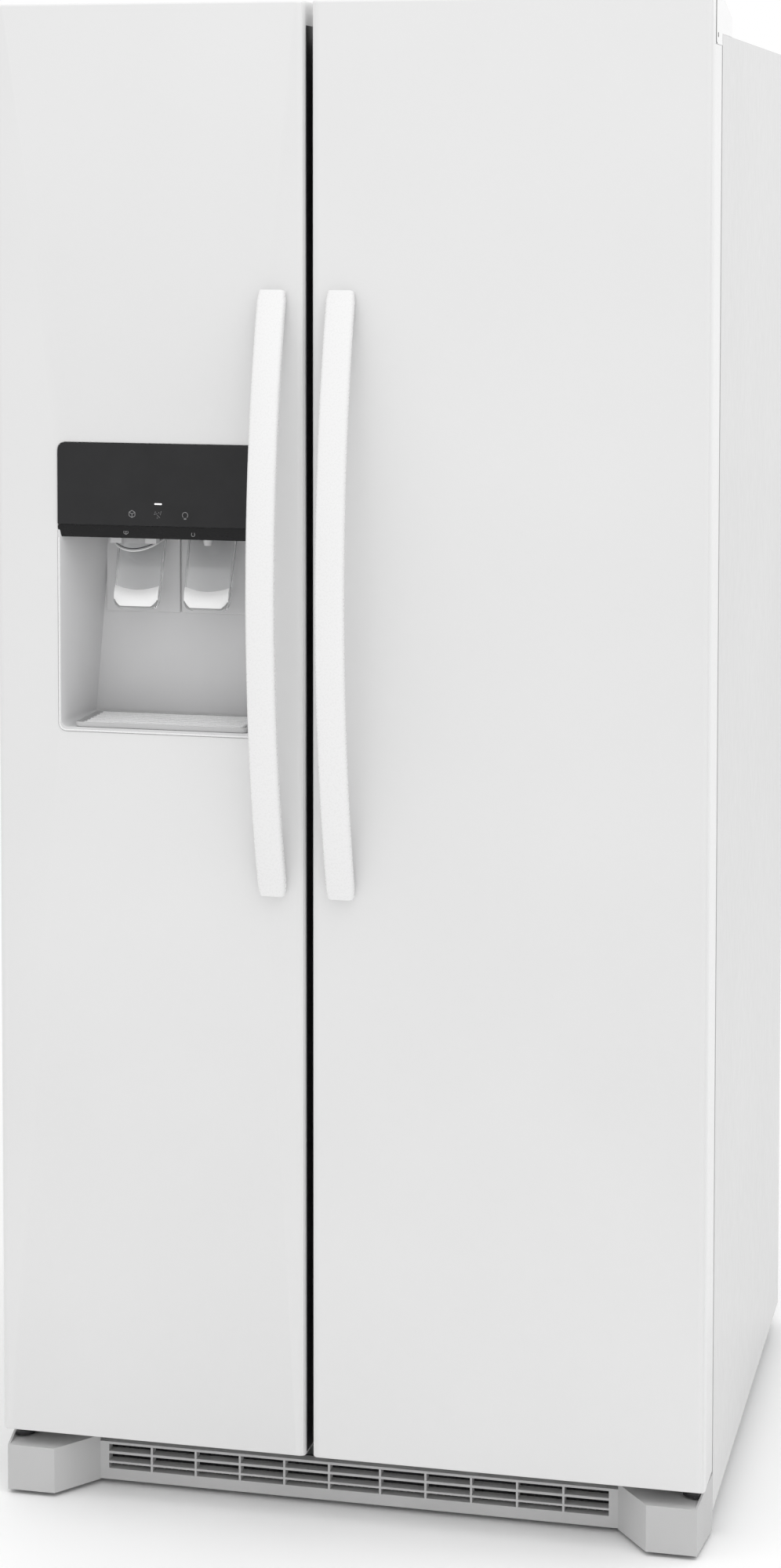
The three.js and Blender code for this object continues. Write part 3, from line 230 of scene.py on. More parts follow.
def turned(profile, centre, axis=2, sides=32):
    """A body of revolution: point (r, h) of the profile goes round the axis at distance r."""
    profile = np.asarray(profile, float)
    angle = np.linspace(0.0, 2 * math.pi, sides, endpoint=False)
    radius = np.maximum(profile[:, 0], 1e-5)[:, None]
    others = [k for k in range(3) if k != axis]
    rings = np.zeros((len(profile), sides, 3))
    rings[:, :, others[0]] = centre[others[0]] + radius * np.cos(angle)
    rings[:, :, others[1]] = centre[others[1]] + radius * np.sin(angle)
    rings[:, :, axis] = centre[axis] + profile[:, 1][:, None]
    return loft(rings)


def pin(along, slim, radius, cut, centre, axis, sides):
    """A round pin along an axis: its ends narrow to the slim radius over the cut."""
    low, high = along
    return turned([(0, low), (slim, low), (radius, low + cut), (radius, high - cut), (slim, high),
                   (0, high)], centre, axis, sides)


def bend(points, radius, steps=4):
    """A path of straight runs with its corners rounded: each corner becomes a quadratic curve from
    a point before it to a point after it."""
    points = [np.asarray(p, float) for p in points]
    path = [points[0]]
    for before, corner, after in zip(points, points[1:], points[2:]):
        start = corner + (before - corner) / np.linalg.norm(before - corner) * radius
        end = corner + (after - corner) / np.linalg.norm(after - corner) * radius
        for t in np.linspace(0.0, 1.0, steps + 1):
            path.append((1 - t) ** 2 * start + 2 * t * (1 - t) * corner + t * t * end)
    path.append(points[-1])
    return np.array(path)


def join(*parts):
    """Several surfaces as one: the later ones' faces count on from the points before them."""
    points, faces, total = [], [], 0
    for some_points, some_faces in parts:
        points.append(some_points)
        faces.extend([[index + total for index in face] for face in some_faces])
        total += len(some_points)
    return np.concatenate(points), faces


def mirrored(part):
    """The same surface on the other side of the middle plane, x taken as -x."""
    points, faces = part
    return points * np.array([-1.0, 1.0, 1.0]), [face[::-1] for face in faces]


def make(name, part, finish, body, replaces=(), sharp=40.0):
    """Puts a surface into a mesh object that rides on a body and may stand for CAD nodes. Edges
    that turn by more than so many degrees stay sharp."""
    points, faces = part
    mesh = bpy.data.meshes.new(name)
    mesh.from_pydata(points.tolist(), [], faces)
    work = bmesh.new()
    work.from_mesh(mesh)
    bmesh.ops.remove_doubles(work, verts=work.verts, dist=WELD)
    bmesh.ops.dissolve_degenerate(work, dist=WELD, edges=work.edges)
    bmesh.ops.recalc_face_normals(work, faces=work.faces)
    work.to_mesh(mesh)
    work.free()
    mesh.polygons.foreach_set("use_smooth", np.ones(len(mesh.polygons), bool))
    mesh.set_sharp_from_angle(angle=math.radians(sharp))
    mesh.materials.append(FINISHES[finish])
    piece = bpy.data.objects.new(name, mesh)
    bpy.context.scene.collection.objects.link(piece)
    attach(piece, body)
    if replaces:
        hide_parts(*replaces)
    return piece


# ---------------------------------------------------------------- finishes
class Finish:
    """A material under way: short names for the nodes that its pattern needs."""

    def __init__(self, name, colour, roughness, metallic=0.0, coat=0.0, clear=0.0, ior=1.5):
        self.material = bpy.data.materials.new(name)
        self.material.use_nodes = True
        self.nodes = self.material.node_tree.nodes
        self.links = self.material.node_tree.links
        self.shader = self.nodes["Principled BSDF"]
        self.colour = tuple(colour)[:3]
        self.roughness = roughness
        self.place = self.nodes.new("ShaderNodeTexCoord").outputs["Object"]
        sockets = self.shader.inputs
        sockets["Metallic"].default_value = metallic
        sockets["Coat Weight"].default_value = coat
        sockets["Coat Roughness"].default_value = 0.12
        sockets["Transmission Weight"].default_value = clear
        sockets["IOR"].default_value = ior
        sockets["Base Color"].default_value = (*self.colour, 1.0)
        sockets["Roughness"].default_value = roughness

    def shine(self, level):
        """Strength of the mirror-like part, 0.5 being a plain plastic's."""
        self.shader.inputs["Specular IOR Level"].default_value = level
        return self

    def node(self, kind, **values):
        """A node with its input sockets set by name; a value may be another node's output."""
        node = self.nodes.new(kind)
        for key, value in values.items():
            socket = node.inputs[key.replace("_", " ")]
            if isinstance(value, bpy.types.NodeSocket):
                self.links.new(value, socket)
            else:
                socket.default_value = value
        return node

    def stretched(self, scale):
        """Object coordinates stretched along the axes."""
        return self.node("ShaderNodeMapping", Vector=self.place, Scale=scale).outputs[0]

    def noise(self, scale, detail=3.0, stretch=(1.0, 1.0, 1.0)):
        """Cloudy noise with so many cells to the metre."""
        return self.node("ShaderNodeTexNoise", Vector=self.stretched(stretch), Scale=scale,
                         Detail=detail).outputs["Fac"]

    def ranged(self, value, low, high, start=0.35, end=0.65):
        """A pattern value taken from its own range to a new one."""
        return self.node("ShaderNodeMapRange", Value=value, **{
            "From Min": start, "From Max": end, "To Min": low, "To Max": high}).outputs[0]

    def tint(self, value, dark, light):
        """Base colour between two shades of the finish's colour."""
        ramp = self.nodes.new("ShaderNodeValToRGB")
        ramp.color_ramp.elements[0].position = 0.3
        ramp.color_ramp.elements[1].position = 0.7
        ramp.color_ramp.elements[0].color = (*[c * dark for c in self.colour], 1.0)
        ramp.color_ramp.elements[1].color = (*[min(c * light, 1.0) for c in self.colour], 1.0)
        self.links.new(value, ramp.inputs[0])
        self.links.new(ramp.outputs[0], self.shader.inputs["Base Color"])
        return self

    def worn(self, value, spread):
        """Roughness that wanders about its middle."""
        low, high = max(self.roughness - spread, 0.02), min(self.roughness + spread, 1.0)
        self.links.new(self.ranged(value, low, high), self.shader.inputs["Roughness"])
        return self

    def raised(self, value, depth, strength=1.0):
        """Relief of so many metres."""
        bump = self.node("ShaderNodeBump", Height=value, Strength=strength, Distance=depth)
        self.links.new(bump.outputs[0], self.shader.inputs["Normal"])
        return self


def enamel(name, colour, roughness=0.36, peel=420.0, depth=0.00006, stretch=(1, 1, 1)):
    """Painted steel: fine orange peel and faint cloudiness in colour and gloss."""
    finish = Finish(name, colour, roughness, coat=0.25)
    cloud = finish.noise(2.6, 4.0)
    grain = finish.noise(peel, 2.0, stretch)
    finish.tint(cloud, 0.985, 1.015).worn(grain, 0.06).raised(grain, depth)
    return finish.material


def moulded(name, colour, roughness=0.42, grain_scale=900.0, depth=0.00004, shade=0.04):
    """Moulded plastic: a matt spark grain, flow marks in colour and uneven gloss."""
    finish = Finish(name, colour, roughness)
    grain = finish.noise(grain_scale, 3.0)
    flow = finish.noise(7.0, 4.0, (1.0, 1.0, 0.4))
    finish.tint(flow, 1.0 - shade, 1.0 + shade).worn(grain, 0.08).raised(grain, depth)
    return finish.material


def glossy(name, colour, roughness=0.14):
    """Dark glossy plastic: a hair of waviness, faint flow marks and little glare."""
    finish = Finish(name, colour, roughness)
    flow = finish.noise(24.0, 3.0)
    finish.tint(flow, 0.92, 1.08).worn(flow, 0.04).raised(flow, 0.0001, 0.2).shine(0.22)
    return finish.material


def clear_plastic(name, colour, clear=0.82, roughness=0.09):
    """Clear moulded plastic: see-through, with flow lines and a slightly rippled surface."""
    finish = Finish(name, colour, roughness, clear=clear, ior=1.46)
    flow = finish.noise(16.0, 3.0, (1.0, 1.0, 0.25))
    finish.tint(flow, 0.96, 1.03).worn(flow, 0.04).raised(flow, 0.0004, 0.35)
    return finish.material


def sheet_metal(name, colour, roughness=0.38, spangle=60.0):
    """Zinc-coated steel: crystals of differing brightness and gloss, with fine rolling marks."""
    finish = Finish(name, colour, roughness, metallic=0.9)
    cells = finish.node("ShaderNodeTexVoronoi", Vector=finish.place, Scale=spangle)
    lines = finish.noise(240.0, 2.0, (0.05, 1.0, 1.0))
    finish.tint(cells.outputs["Color"], 0.85, 1.12).worn(cells.outputs["Distance"], 0.12)
    finish.raised(lines, 0.00003)
    return finish.material


def soft_rubber(name, colour, roughness=0.62):
    """Soft vinyl: a fine matt grain with dusty patches."""
    finish = Finish(name, colour, roughness)
    dust = finish.noise(38.0, 5.0)
    grain = finish.noise(1400.0, 2.0)
    finish.tint(dust, 0.93, 1.04).worn(dust, 0.08).raised(grain, 0.00005)
    return finish.material


def foam(name, colour):
    """Rigid foam: round cells in relief and mottled colour."""
    finish = Finish(name, colour, 0.9)
    cells = finish.node("ShaderNodeTexVoronoi", Vector=finish.place, Scale=420.0)
    finish.tint(finish.noise(22.0, 5.0), 0.85, 1.08)
    finish.worn(finish.noise(60.0), 0.05).raised(cells.outputs["Distance"], 0.0006)
    return finish.material


def glow(name, colour, strength):
    """A small lamp behind a frosted window: light that fades a little in patches."""
    finish = Finish(name, colour, 0.4)
    finish.tint(finish.noise(300.0), 0.95, 1.0).worn(finish.noise(400.0), 0.05)
    finish.shader.inputs["Emission Color"].default_value = (*colour[:3], 1.0)
    finish.shader.inputs["Emission Strength"].default_value = strength
    return finish.material


FINISHES = {}


def make_finishes(colours):
    """Every finish of the refrigerator, by name."""
    FINISHES.update({
        "door": enamel("door_enamel", colours.door, 0.34, 520.0, 0.00004),
        # The cabinet's enamel is darker than the doors' white: painted shade for the cabinet's
        # sides.
        "cabinet": enamel("cabinet_enamel", colours.cabinet, 0.42, 300.0, 0.0001,
                          (1.0, 1.0, 0.16)),
        "handle": moulded("handle_plastic", colours.handle, 0.3, 500.0, 0.00002, 0.012),
        "white": moulded("white_plastic", colours.handle, 0.4, 700.0, 0.00003, 0.02),
        "liner": moulded("liner_plastic", colours.liner, 0.34, 260.0, 0.00005, 0.015),
        "grille": moulded("grille_plastic", colours.grille, 0.5, 800.0, 0.00006, 0.04),
        "recess": moulded("recess_plastic", colours.recess, 0.36, 900.0, 0.00003, 0.03),
        "edge": moulded("paddle_edge", (0.3, 0.3, 0.3), 0.3, 500.0, 0.00003, 0.05),
        "pad": moulded("paddle_pad", (0.96, 0.96, 0.96), 0.35, 500.0, 0.00003, 0.02),
        "tray": moulded("tray_plastic", colours.tray, 0.3, 900.0, 0.00003, 0.03),
        # The dish's colour is the tray plastic darkened to 0.6: painted shade under the ridges.
        "well": moulded("tray_well", [c * 0.6 for c in colours.tray], 0.34, 900.0, 0.00003, 0.03),
        "panel": glossy("panel_gloss", colours.panel, 0.18),
        "band": glossy("panel_band", colours.band, 0.24),
        "mark": moulded("panel_print", colours.print, 0.5, 900.0, 0.00001, 0.05),
        "glow": glow("panel_lamp", (1.0, 1.0, 1.0), 2.2),
        "black": moulded("black_plastic", (0.018, 0.018, 0.02), 0.5, 700.0, 0.00005, 0.12),
        "roller": moulded("roller_nylon", (0.07, 0.07, 0.075), 0.55, 500.0, 0.00008, 0.12),
        "clear": clear_plastic("clear_plastic", (0.93, 0.96, 0.97)),
        "paddle": clear_plastic("paddle_plastic", (0.94, 0.945, 0.95), 0.86, 0.08),
        "glass": clear_plastic("shelf_glass", (0.9, 0.97, 0.94), 0.92, 0.03),
        "gasket": soft_rubber("gasket_vinyl", colours.gasket),
        "wire": enamel("coated_wire", (0.84, 0.84, 0.83), 0.3, 200.0, 0.0001),
        "zinc": sheet_metal("zinc_plate", (0.62, 0.63, 0.64), 0.32, 140.0),
        "galvanized": sheet_metal("galvanized_sheet", (0.56, 0.58, 0.59), 0.42, 55.0),
        "aluminium": sheet_metal("bare_aluminium", (0.76, 0.77, 0.78), 0.34, 300.0),
        "black_paint": enamel("black_enamel", (0.02, 0.02, 0.022), 0.35, 260.0, 0.0001),
        "foam": foam("insulation_foam", (0.78, 0.7, 0.45)),
    })


KEPT_NODES = {  # finish: CAD nodes that keep their own shape, or have pieces over it
    "cabinet": "cabinet_wrapper",
    "white": "hinge_cover_left hinge_cover_right control_housing evaporator_cover",
    "liner": "freezer_liner fresh_food_liner freezer_door_liner fresh_food_door_liner",
    "grille": "toe_grille ice_maker",
    "galvanized": "rear_panel machine_cover base_frame",
    "zinc": "upper_hinge_left upper_hinge_right ice_feeler_arm",
    "roller": "front_roller_left front_roller_right rear_roller_left rear_roller_right",
    "black": "ice_chute_flap drain_pan evaporator_fan condenser_fan",
    "black_paint": "compressor condenser lower_hinge_left lower_hinge_right",
    "aluminium": "evaporator ice_auger",
    "glass": "glass_shelf_low glass_shelf_middle glass_shelf_high crisper_cover",
    "clear": "fresh_bin_low fresh_bin_high freezer_bin_low freezer_bin_high dairy_box "
             "dairy_lid lower_crisper upper_crisper ice_bin",
    "wire": "freezer_shelf_low freezer_shelf_high freezer_basket",
    "gasket": "freezer_gasket fresh_food_gasket",
    "recess": "dispenser_housing ice_chute",
    "paddle": "ice_paddle water_paddle",
    "tray": "drip_tray",
    "panel": "control_panel",
    "foam": "cabinet_foam",
}


def repaint(finish, nodes):
    """Gives CAD nodes a better finish than the plain one they come with."""
    for name in nodes:
        node = frame["nodes"][name]
        if not node.material_slots:
            node.data.materials.append(FINISHES[finish])
        for slot in node.material_slots:
            slot.material = FINISHES[finish]


# ---------------------------------------------------------------- doors
def door_ring(x, z, side, inset, y, notched, corner=0.0025):
    """A door's outline at one depth. Its top hinge corner is three points that either lie on the
    corner or step in to the notch, so that full and notched rings match point for point."""
    away_x, away_z = inset
    left, right = x[0] + away_x, x[1] - away_x
    low, high = z[0] + away_z, z[1] - away_z
    hinge_x = side * (x[1] if side > 0 else -x[0]) - side * HINGE_INSET
    inner = hinge_x - side * (NOTCH_RADIUS + (away_x if notched == "inner" else 0.0))
    step = z[1] - NOTCH_HEIGHT - (away_z if notched == "inner" else 0.0)
    ring = outline_box((left, right), (low, high), corner, 3)
    at = 0 if side > 0 else 4
    arc = ring[at:at + 4].copy()
    before, after = (right if side > 0 else left), (inner, high)
    side_point, top_point = np.array([[before, step]]), np.array([after])
    if notched:
        arc[:] = (inner, step)
    ends = [side_point, arc, top_point] if side > 0 else [top_point, arc, side_point]
    ring = np.concatenate([ring[:at], *ends, ring[at + 4:]])
    return placed(ring, 1, y)


def door_shell(x, z, side, edge, hole=None):
    """A door's painted skin: rings run up the outside from the back, over the round front edges,
    across the face to the dispenser's opening if there is one, and back down the inside."""
    notch_y = JOINT_AT["fresh_food_door_hinge"][1] - NOTCH_RADIUS + HAIR
    back = DOOR_Y[1]
    rings = [door_ring(x, z, side, (0, 0), back, "outer"),
             door_ring(x, z, side, (0, 0), notch_y, "outer"),
             door_ring(x, z, side, (0, 0), notch_y, "")]
    for t in np.linspace(0.0, math.pi / 2, 9):
        inset = (edge * (1 - math.cos(t)), 0.0028 * (1 - math.cos(t)))
        rings.append(door_ring(x, z, side, inset, FACE + edge * (1 - math.sin(t)), ""))
    inner = [door_ring(x, z, side, (SHEET, SHEET), FACE + SHEET, ""),
             door_ring(x, z, side, (SHEET, SHEET), notch_y - SHEET, ""),
             door_ring(x, z, side, (SHEET, SHEET), notch_y - SHEET, "inner"),
             door_ring(x, z, side, (SHEET, SHEET), back, "inner")]
    if hole is None:
        return loft(inner + rings)
    lip = 0.0012
    for t in np.linspace(0.0, math.pi / 2, 4):
        rings.append(hole_ring(hole, side, -lip * (1 - math.sin(t)),
                               FACE + lip * (1 - math.cos(t))))
    rings.append(hole_ring(hole, side, 0.0, FACE + SHEET))
    return loft(rings + inner, looped=True)


def hole_ring(hole, side, grown, y):
    """The dispenser's opening as a ring with as many points as the door's outline has: two more
    lie just beside the corner that answers to the door's hinge corner."""
    x, z = grow(hole[0], -grown), grow(hole[1], -grown)
    ring = outline_box(x, z, 0.009 - grown, 3)
    at = 0 if side > 0 else 4
    first, last = ring[at], ring[at + 3]
    before = first + (ring[at - 1] - first) * 0.02
    after = last + (ring[at + 4] - last) * 0.02
    ring = np.concatenate([ring[:at], [before], ring[at:at + 4], [after], ring[at + 4:]])
    return placed(ring, 1, y)


def handle_strap(node, width, thickness):
    """A bowed bar: a round-edged strap carried along a circular arc. Point t of the path lies at
    (centre - r cos t) in depth and r sin t in height, and the strap narrows to its ends."""
    x, y, z = limits(node)
    middle, chord = mid(z), (z[1] - z[0]) / 2
    reach = FACE - y[0]
    rise = reach - 0.012
    radius = (chord ** 2 + rise ** 2) / (2 * rise)
    span = math.asin(chord / radius)
    start = np.array([mid(x), y[0] + radius, middle])
    rings = []
    for t in np.linspace(-span, span, 61):
        outward = np.array([0.0, -math.cos(t), math.sin(t)])
        rest = max(abs(t) / span - 0.97, 0.0) / 0.03
        half = width / 2 - 0.0015 * rest ** 2
        section = outline_box((-half, half), (-thickness, 0.0), 0.0042, 5)
        crown = 0.0016 * (1 - (section[:, 0] / half) ** 2)
        depth = section[:, 1]
        depth = np.where(depth > -thickness / 2, depth + crown - 0.0016, depth)
        sideways = section[:, :1] * np.array([1.0, 0, 0])
        points = start + sideways + (radius + depth)[:, None] * outward
        points[:, 1] = np.minimum(points[:, 1], FACE - HAIR)
        points[:, 2] = np.clip(points[:, 2], z[0], z[1])
        rings.append(points)
    return loft(rings)


# ---------------------------------------------------------------- settings
def length(name, description, default, low, high):
    """A length setting."""
    return bpy.props.FloatProperty(name=name, description=description, default=default, min=low,
                                   max=high, unit="LENGTH")


def number(name, description, default, low, high):
    """A count setting."""
    return bpy.props.IntProperty(name=name, description=description, default=default, min=low,
                                 max=high)


class RefrigeratorSizes(bpy.types.PropertyGroup):
    """Sizes of the visible pieces that don't change the frame."""

    door_edge: length("Door edge radius", "Rounding of each door's upright front edges",
                      0.009, 0.002, 0.009)
    handle_thickness: length("Handle thickness", "Thickness of the bowed handle bars",
                             0.0138, 0.008, 0.014)
    tray_ridges: number("Drip tray ridges", "Number of ridges across the drip tray", 7, 3, 12)
    gasket_lips: number("Gasket lips", "Number of bellows folds in each door gasket", 3, 1, 5)
    fins: number("Condenser fins", "Number of plates in the condenser", 44, 10, 80)


def colour(name, description, default):
    """A colour setting."""
    return bpy.props.FloatVectorProperty(name=name, description=description, default=default,
                                         subtype="COLOR", size=3, min=0.0, max=1.0)


class RefrigeratorColours(bpy.types.PropertyGroup):
    """Colours of the visible finishes."""

    door: colour("Door enamel", "Colour of the two doors", (0.735, 0.735, 0.735))
    # Darker than the door enamel: painted shade for the cabinet's sides.
    cabinet: colour("Cabinet enamel", "Colour of the cabinet's sides and top", (0.6, 0.6, 0.6))
    handle: colour("Handle plastic", "Colour of handles and hinge covers", (0.82, 0.82, 0.82))
    liner: colour("Liner plastic", "Colour of the inner panels", (0.84, 0.85, 0.85))
    grille: colour("Toe grille", "Colour of the toe grille", (0.5, 0.5, 0.5))
    recess: colour("Dispenser recess", "Colour of the dispenser's recess", (0.67, 0.67, 0.675))
    tray: colour("Drip tray", "Colour of the drip tray", (0.84, 0.84, 0.845))
    panel: colour("Control panel", "Colour of the control panel", (0.02, 0.02, 0.021))
    band: colour("Panel band", "Colour of the band under the panel", (0.006, 0.006, 0.0065))
    print: colour("Panel marks", "Colour of the pictograms", (0.3, 0.3, 0.305))
    gasket: colour("Gasket vinyl", "Colour of the door gaskets", (0.7, 0.7, 0.69))


def sizes():
    """The scene's sizes."""
    return bpy.context.scene.refrigerator_sizes


# ---------------------------------------------------------------- operators
class REFRIGERATOR_OT_finishes(bpy.types.Operator):
    """Make every finish and give it to the CAD nodes that keep their shape"""

    bl_idname = "refrigerator.finishes"
    bl_label = "Finishes"

    def execute(self, context):
        make_finishes(context.scene.refrigerator_colours)
        for finish, nodes in KEPT_NODES.items():
            repaint(finish, nodes.split())
        return {"FINISHED"}


class REFRIGERATOR_OT_doors(bpy.types.Operator):
    """Make the two painted door skins with their round front edges"""

    bl_idname = "refrigerator.doors"
    bl_label = "Door skins"

    def execute(self, context):
        edge = sizes().door_edge
        hole = (grow(HOUSING[0], HAIR), grow(HOUSING[2], HAIR))
        for name, (body, side) in DOORS.items():
            x, _, z = limits(f"{name}_door_skin")
            shell = door_shell(x, z, side, edge, hole if side < 0 else None)
            make(f"{name}_door_front", shell, "door", body,
                 (f"{name}_door_skin",), 25.0)
        return {"FINISHED"}


class REFRIGERATOR_OT_handles(bpy.types.Operator):
    """Make the two bowed handles"""

    bl_idname = "refrigerator.handles"
    bl_label = "Handles"

    def execute(self, context):
        for name, (body, _) in DOORS.items():
            node = f"{name}_handle"
            x = limits(node)[0]
            strap = handle_strap(node, x[1] - x[0], sizes().handle_thickness)
            make(f"{name}_handle_bar", strap, "handle", body, (node,))
        return {"FINISHED"}


class REFRIGERATOR_OT_gap_shade_strips(bpy.types.Operator):
    """Make the dark strips on the door edges that face each other: painted shade for the deep gap
    between the doors
    """

    bl_idname = "refrigerator.gap_trims"
    bl_label = "Door gap shade strips"

    def execute(self, context):
        for name, (body, side) in DOORS.items():
            x, _, z = limits(f"{name}_door_skin")
            edge = x[0] if side > 0 else x[1]
            # A black strip on each door's gap-facing side: painted shade for the darkness deep in
            # the gap between the doors.
            shade_strip = block(about(edge, 0.0006), (FACE + 0.0095, FACE + 0.045),
                         (z[0] + 0.004, z[1] - 0.028), 0.0006, 0.0004)
            make(f"{name}_gap_shade_strip", shade_strip, "black", body)
        return {"FINISHED"}


def recess_ring(depth, y, lip=0.0):
    """The recess's walls at one depth as a closed U. The inner line stands in from the housing by
    the wall and by depth times a lean that grows with height; the outer line is the housing's."""
    x, _, z = HOUSING
    corner = 0.008
    heights = np.concatenate([[RECESS_HEAD], np.linspace(RECESS_TOP, RECESS_FLOOR + corner, 7)])
    turn = np.linspace(0.0, math.pi / 2, 6)[1:]

    def lean(height):
        rise = np.clip((height - RECESS_FLOOR) / (RECESS_TOP - RECESS_FLOOR), 0.0, 1.0)
        return depth * (0.012 + 0.019 * rise) + RECESS_WALL - lip

    wall = np.stack([x[0] + lean(heights), heights], 1)
    low = RECESS_FLOOR - lip * 0.5
    centre = np.array([x[0] + lean(low) + corner, low + corner])
    curve = centre + corner * np.stack([-np.cos(turn), -np.sin(turn)], 1)
    left = np.concatenate([wall, curve])
    right = left[::-1] * np.array([-1.0, 1.0]) + np.array([x[0] + x[1], 0.0])
    below = outline_box(x, z, 0.009, 5)[12:24][::-1]
    outer = [(x[1], RECESS_HEAD), *below, (x[0], RECESS_HEAD)]
    return placed(np.concatenate([left, right, outer]), 1, y)


class REFRIGERATOR_OT_recess(bpy.types.Operator):
    """Make the dispenser's recess: leaning walls, panelled back, spout and a bright frame bead, the
    opening's lip made lighter than the door as a painted highlight
    """

    bl_idname = "refrigerator.recess"
    bl_label = "Dispenser recess"

    def execute(self, context):
        x, y, z = HOUSING
        rings = [recess_ring(0.0, FACE + HAIR, 0.0012), recess_ring(0.0, FACE + 0.0008, 0.0004)]
        for t in np.linspace(0.0, 1.0, 8):
            rings.append(recess_ring(t, FACE + 0.0016 + t * (RECESS_BACK - FACE - 0.0016)))
        walls = loft(rings)
        back = block(x, (RECESS_BACK, y[1]), z, 0.009, 0.0008, axis=1)
        head = block(x, (FACE + 0.008, y[1]), (RECESS_HEAD, z[1]), 0.003, 0.0008)
        step = (RECESS_FLOOR + RECESS_TOP) / 2 + 0.014
        middle = mid(x)
        plates = []
        for across in ((x[0] + 0.03, middle - 0.0008), (middle + 0.0008, x[1] - 0.03)):
            plates.append(block(across, (RECESS_BACK - 0.0035, RECESS_BACK + 0.001),
                                (step, RECESS_TOP + 0.02), 0.002, 0.0014, axis=1))
        water_x = mid(limits("water_paddle")[0])
        nozzle_y = limits("ice_chute")[1][0] + 0.018
        spout = turned([(0, -0.012), (0.0042, -0.012), (0.0052, -0.008), (0.0056, 0.008),
                        (0.009, 0.014), (0.009, 0.024), (0, 0.024)],
                       (water_x, nozzle_y, RECESS_TOP), 2, 24)
        arm = block(about(water_x, 0.005), (nozzle_y, RECESS_BACK + 0.001),
                    (RECESS_TOP + 0.012, RECESS_TOP + 0.022), 0.002, 0.001)
        make("dispenser_recess", join(walls, back, head, *plates, spout, arm), "recess",
             "freezer_door", ("dispenser_housing",), 30.0)
        # The bead is the opening's lip in the lighter handle plastic: a painted highlight along the
        # edge.
        line = bend(hanging(grow(x, -0.0012), RECESS_TOP, z[0] + 0.0012), 0.009, 8)
        bead = tube(placed(line, 1, FACE - 0.0001), 0.0012)
        make("dispenser_frame", bead, "handle", "freezer_door")
        return {"FINISHED"}


class REFRIGERATOR_OT_panel(bpy.types.Operator):
    """Make the glossy control panel with its sloping lower band, lamp and pictograms"""

    bl_idname = "refrigerator.panel"
    bl_label = "Control panel"

    def execute(self, context):
        x, y, z = PANEL
        seam = z[0] + 0.015
        corners = np.array([0.0087, 0.0087, 0.0006, 0.0006])
        upper = block(x, y, (seam, z[1]), corners, 0.0007, axis=1)
        band_rings = []
        for height in np.linspace(z[0], seam - HAIR, 6):
            slope = (seam - height) / (seam - z[0])
            inset = 0.0005 if height in (z[0], seam - HAIR) else 0.0
            front = y[0] + 0.004 * slope + inset
            band_rings.append(placed(outline_box(grow(x, -inset), (front, y[1] - inset), 0.0006, 3),
                                     2, height))
        make("control_panel_face", upper, "panel", "freezer_door",
             ("control_panel",))
        make("control_panel_band", loft(band_rings), "band", "freezer_door")
        middle = mid(x)
        make("control_panel_marks", join(*pictograms(middle, y[0], z)), "mark",
             "freezer_door")
        lamp = block((middle - 0.0042, middle + 0.0044), (y[0] - 0.0002, y[0] + 0.001),
                     (z[0] + 0.0402, z[0] + 0.0416), 0.0006, 0.0001, axis=1)
        make("control_panel_lamp", lamp, "glow", "freezer_door")
        return {"FINISHED"}


def pictograms(middle, face, z):
    """Line drawings a hair proud of the panel: a cube, broken ice and a lamp bulb as touch marks,
    and an ice cube and a drop on the band. Each is one or more thin bars along closed paths."""
    high, low = z[0] + 0.0287, z[0] + 0.0075
    slope_y = face + 0.004 * (0.015 - 0.0075) / 0.015
    line = 0.0003

    def drawn(points, at, y, size, closed=True):
        points = np.asarray(points, float) * size
        path = np.stack([at[0] + points[:, 0], np.full(len(points), y), at[1] + points[:, 1]], 1)
        return tube(path, line, 6, closed)

    hexagon = [(math.cos(a), math.sin(a)) for a in np.radians([90, 150, 210, 270, 330, 30])]
    spokes = [[(0, 0), (0, -1)], [(0, 0), (0.866, 0.5)], [(0, 0), (-0.866, 0.5)]]

    # Each corner is three points a hair apart, so that the bar turns sharply there.
    outline = np.repeat(hexagon, 3, 0) * 0.999 ** np.arange(18)[:, None]

    def cube(at, y, size):
        return [drawn(outline, at, y, size)] + [drawn(k, at, y, size, False) for k in spokes]

    def shard(at, y, size, turn):
        points = [(math.cos(a + turn), math.sin(a + turn)) for a in (0.0, 1.7, 3.6)]
        return drawn(points, at, y, size)

    marks = cube((middle - 0.0315, high), face, 0.0042)
    for k, (a, b) in enumerate([(-0.003, 0.001), (0.0028, 0.0018), (0.0003, -0.0026)]):
        marks.append(shard((middle + a, high + b), face, 0.0023, k * 1.1))
    bulb = (middle + 0.0325, high)
    turn = np.linspace(-0.9, math.pi + 0.9, 18)
    marks.append(drawn(np.stack([np.cos(turn), np.sin(turn)], 1), bulb, face, 0.0033, False))
    for drop in (0.0036, 0.0047):
        marks.append(drawn([(-0.45, 0), (0.45, 0)], (bulb[0], bulb[1] - drop), face, 0.0033, False))
    marks += cube((middle - 0.0395, low), slope_y, 0.003)
    turn = np.linspace(0.0, 2 * math.pi, 20, endpoint=False)
    drop_line = np.stack([np.sin(turn) * np.sin(turn / 2) ** 1.5, np.cos(turn) * 1.2], 1)
    marks.append(drawn(drop_line, (middle + 0.0415, low), slope_y, 0.0028))
    return marks


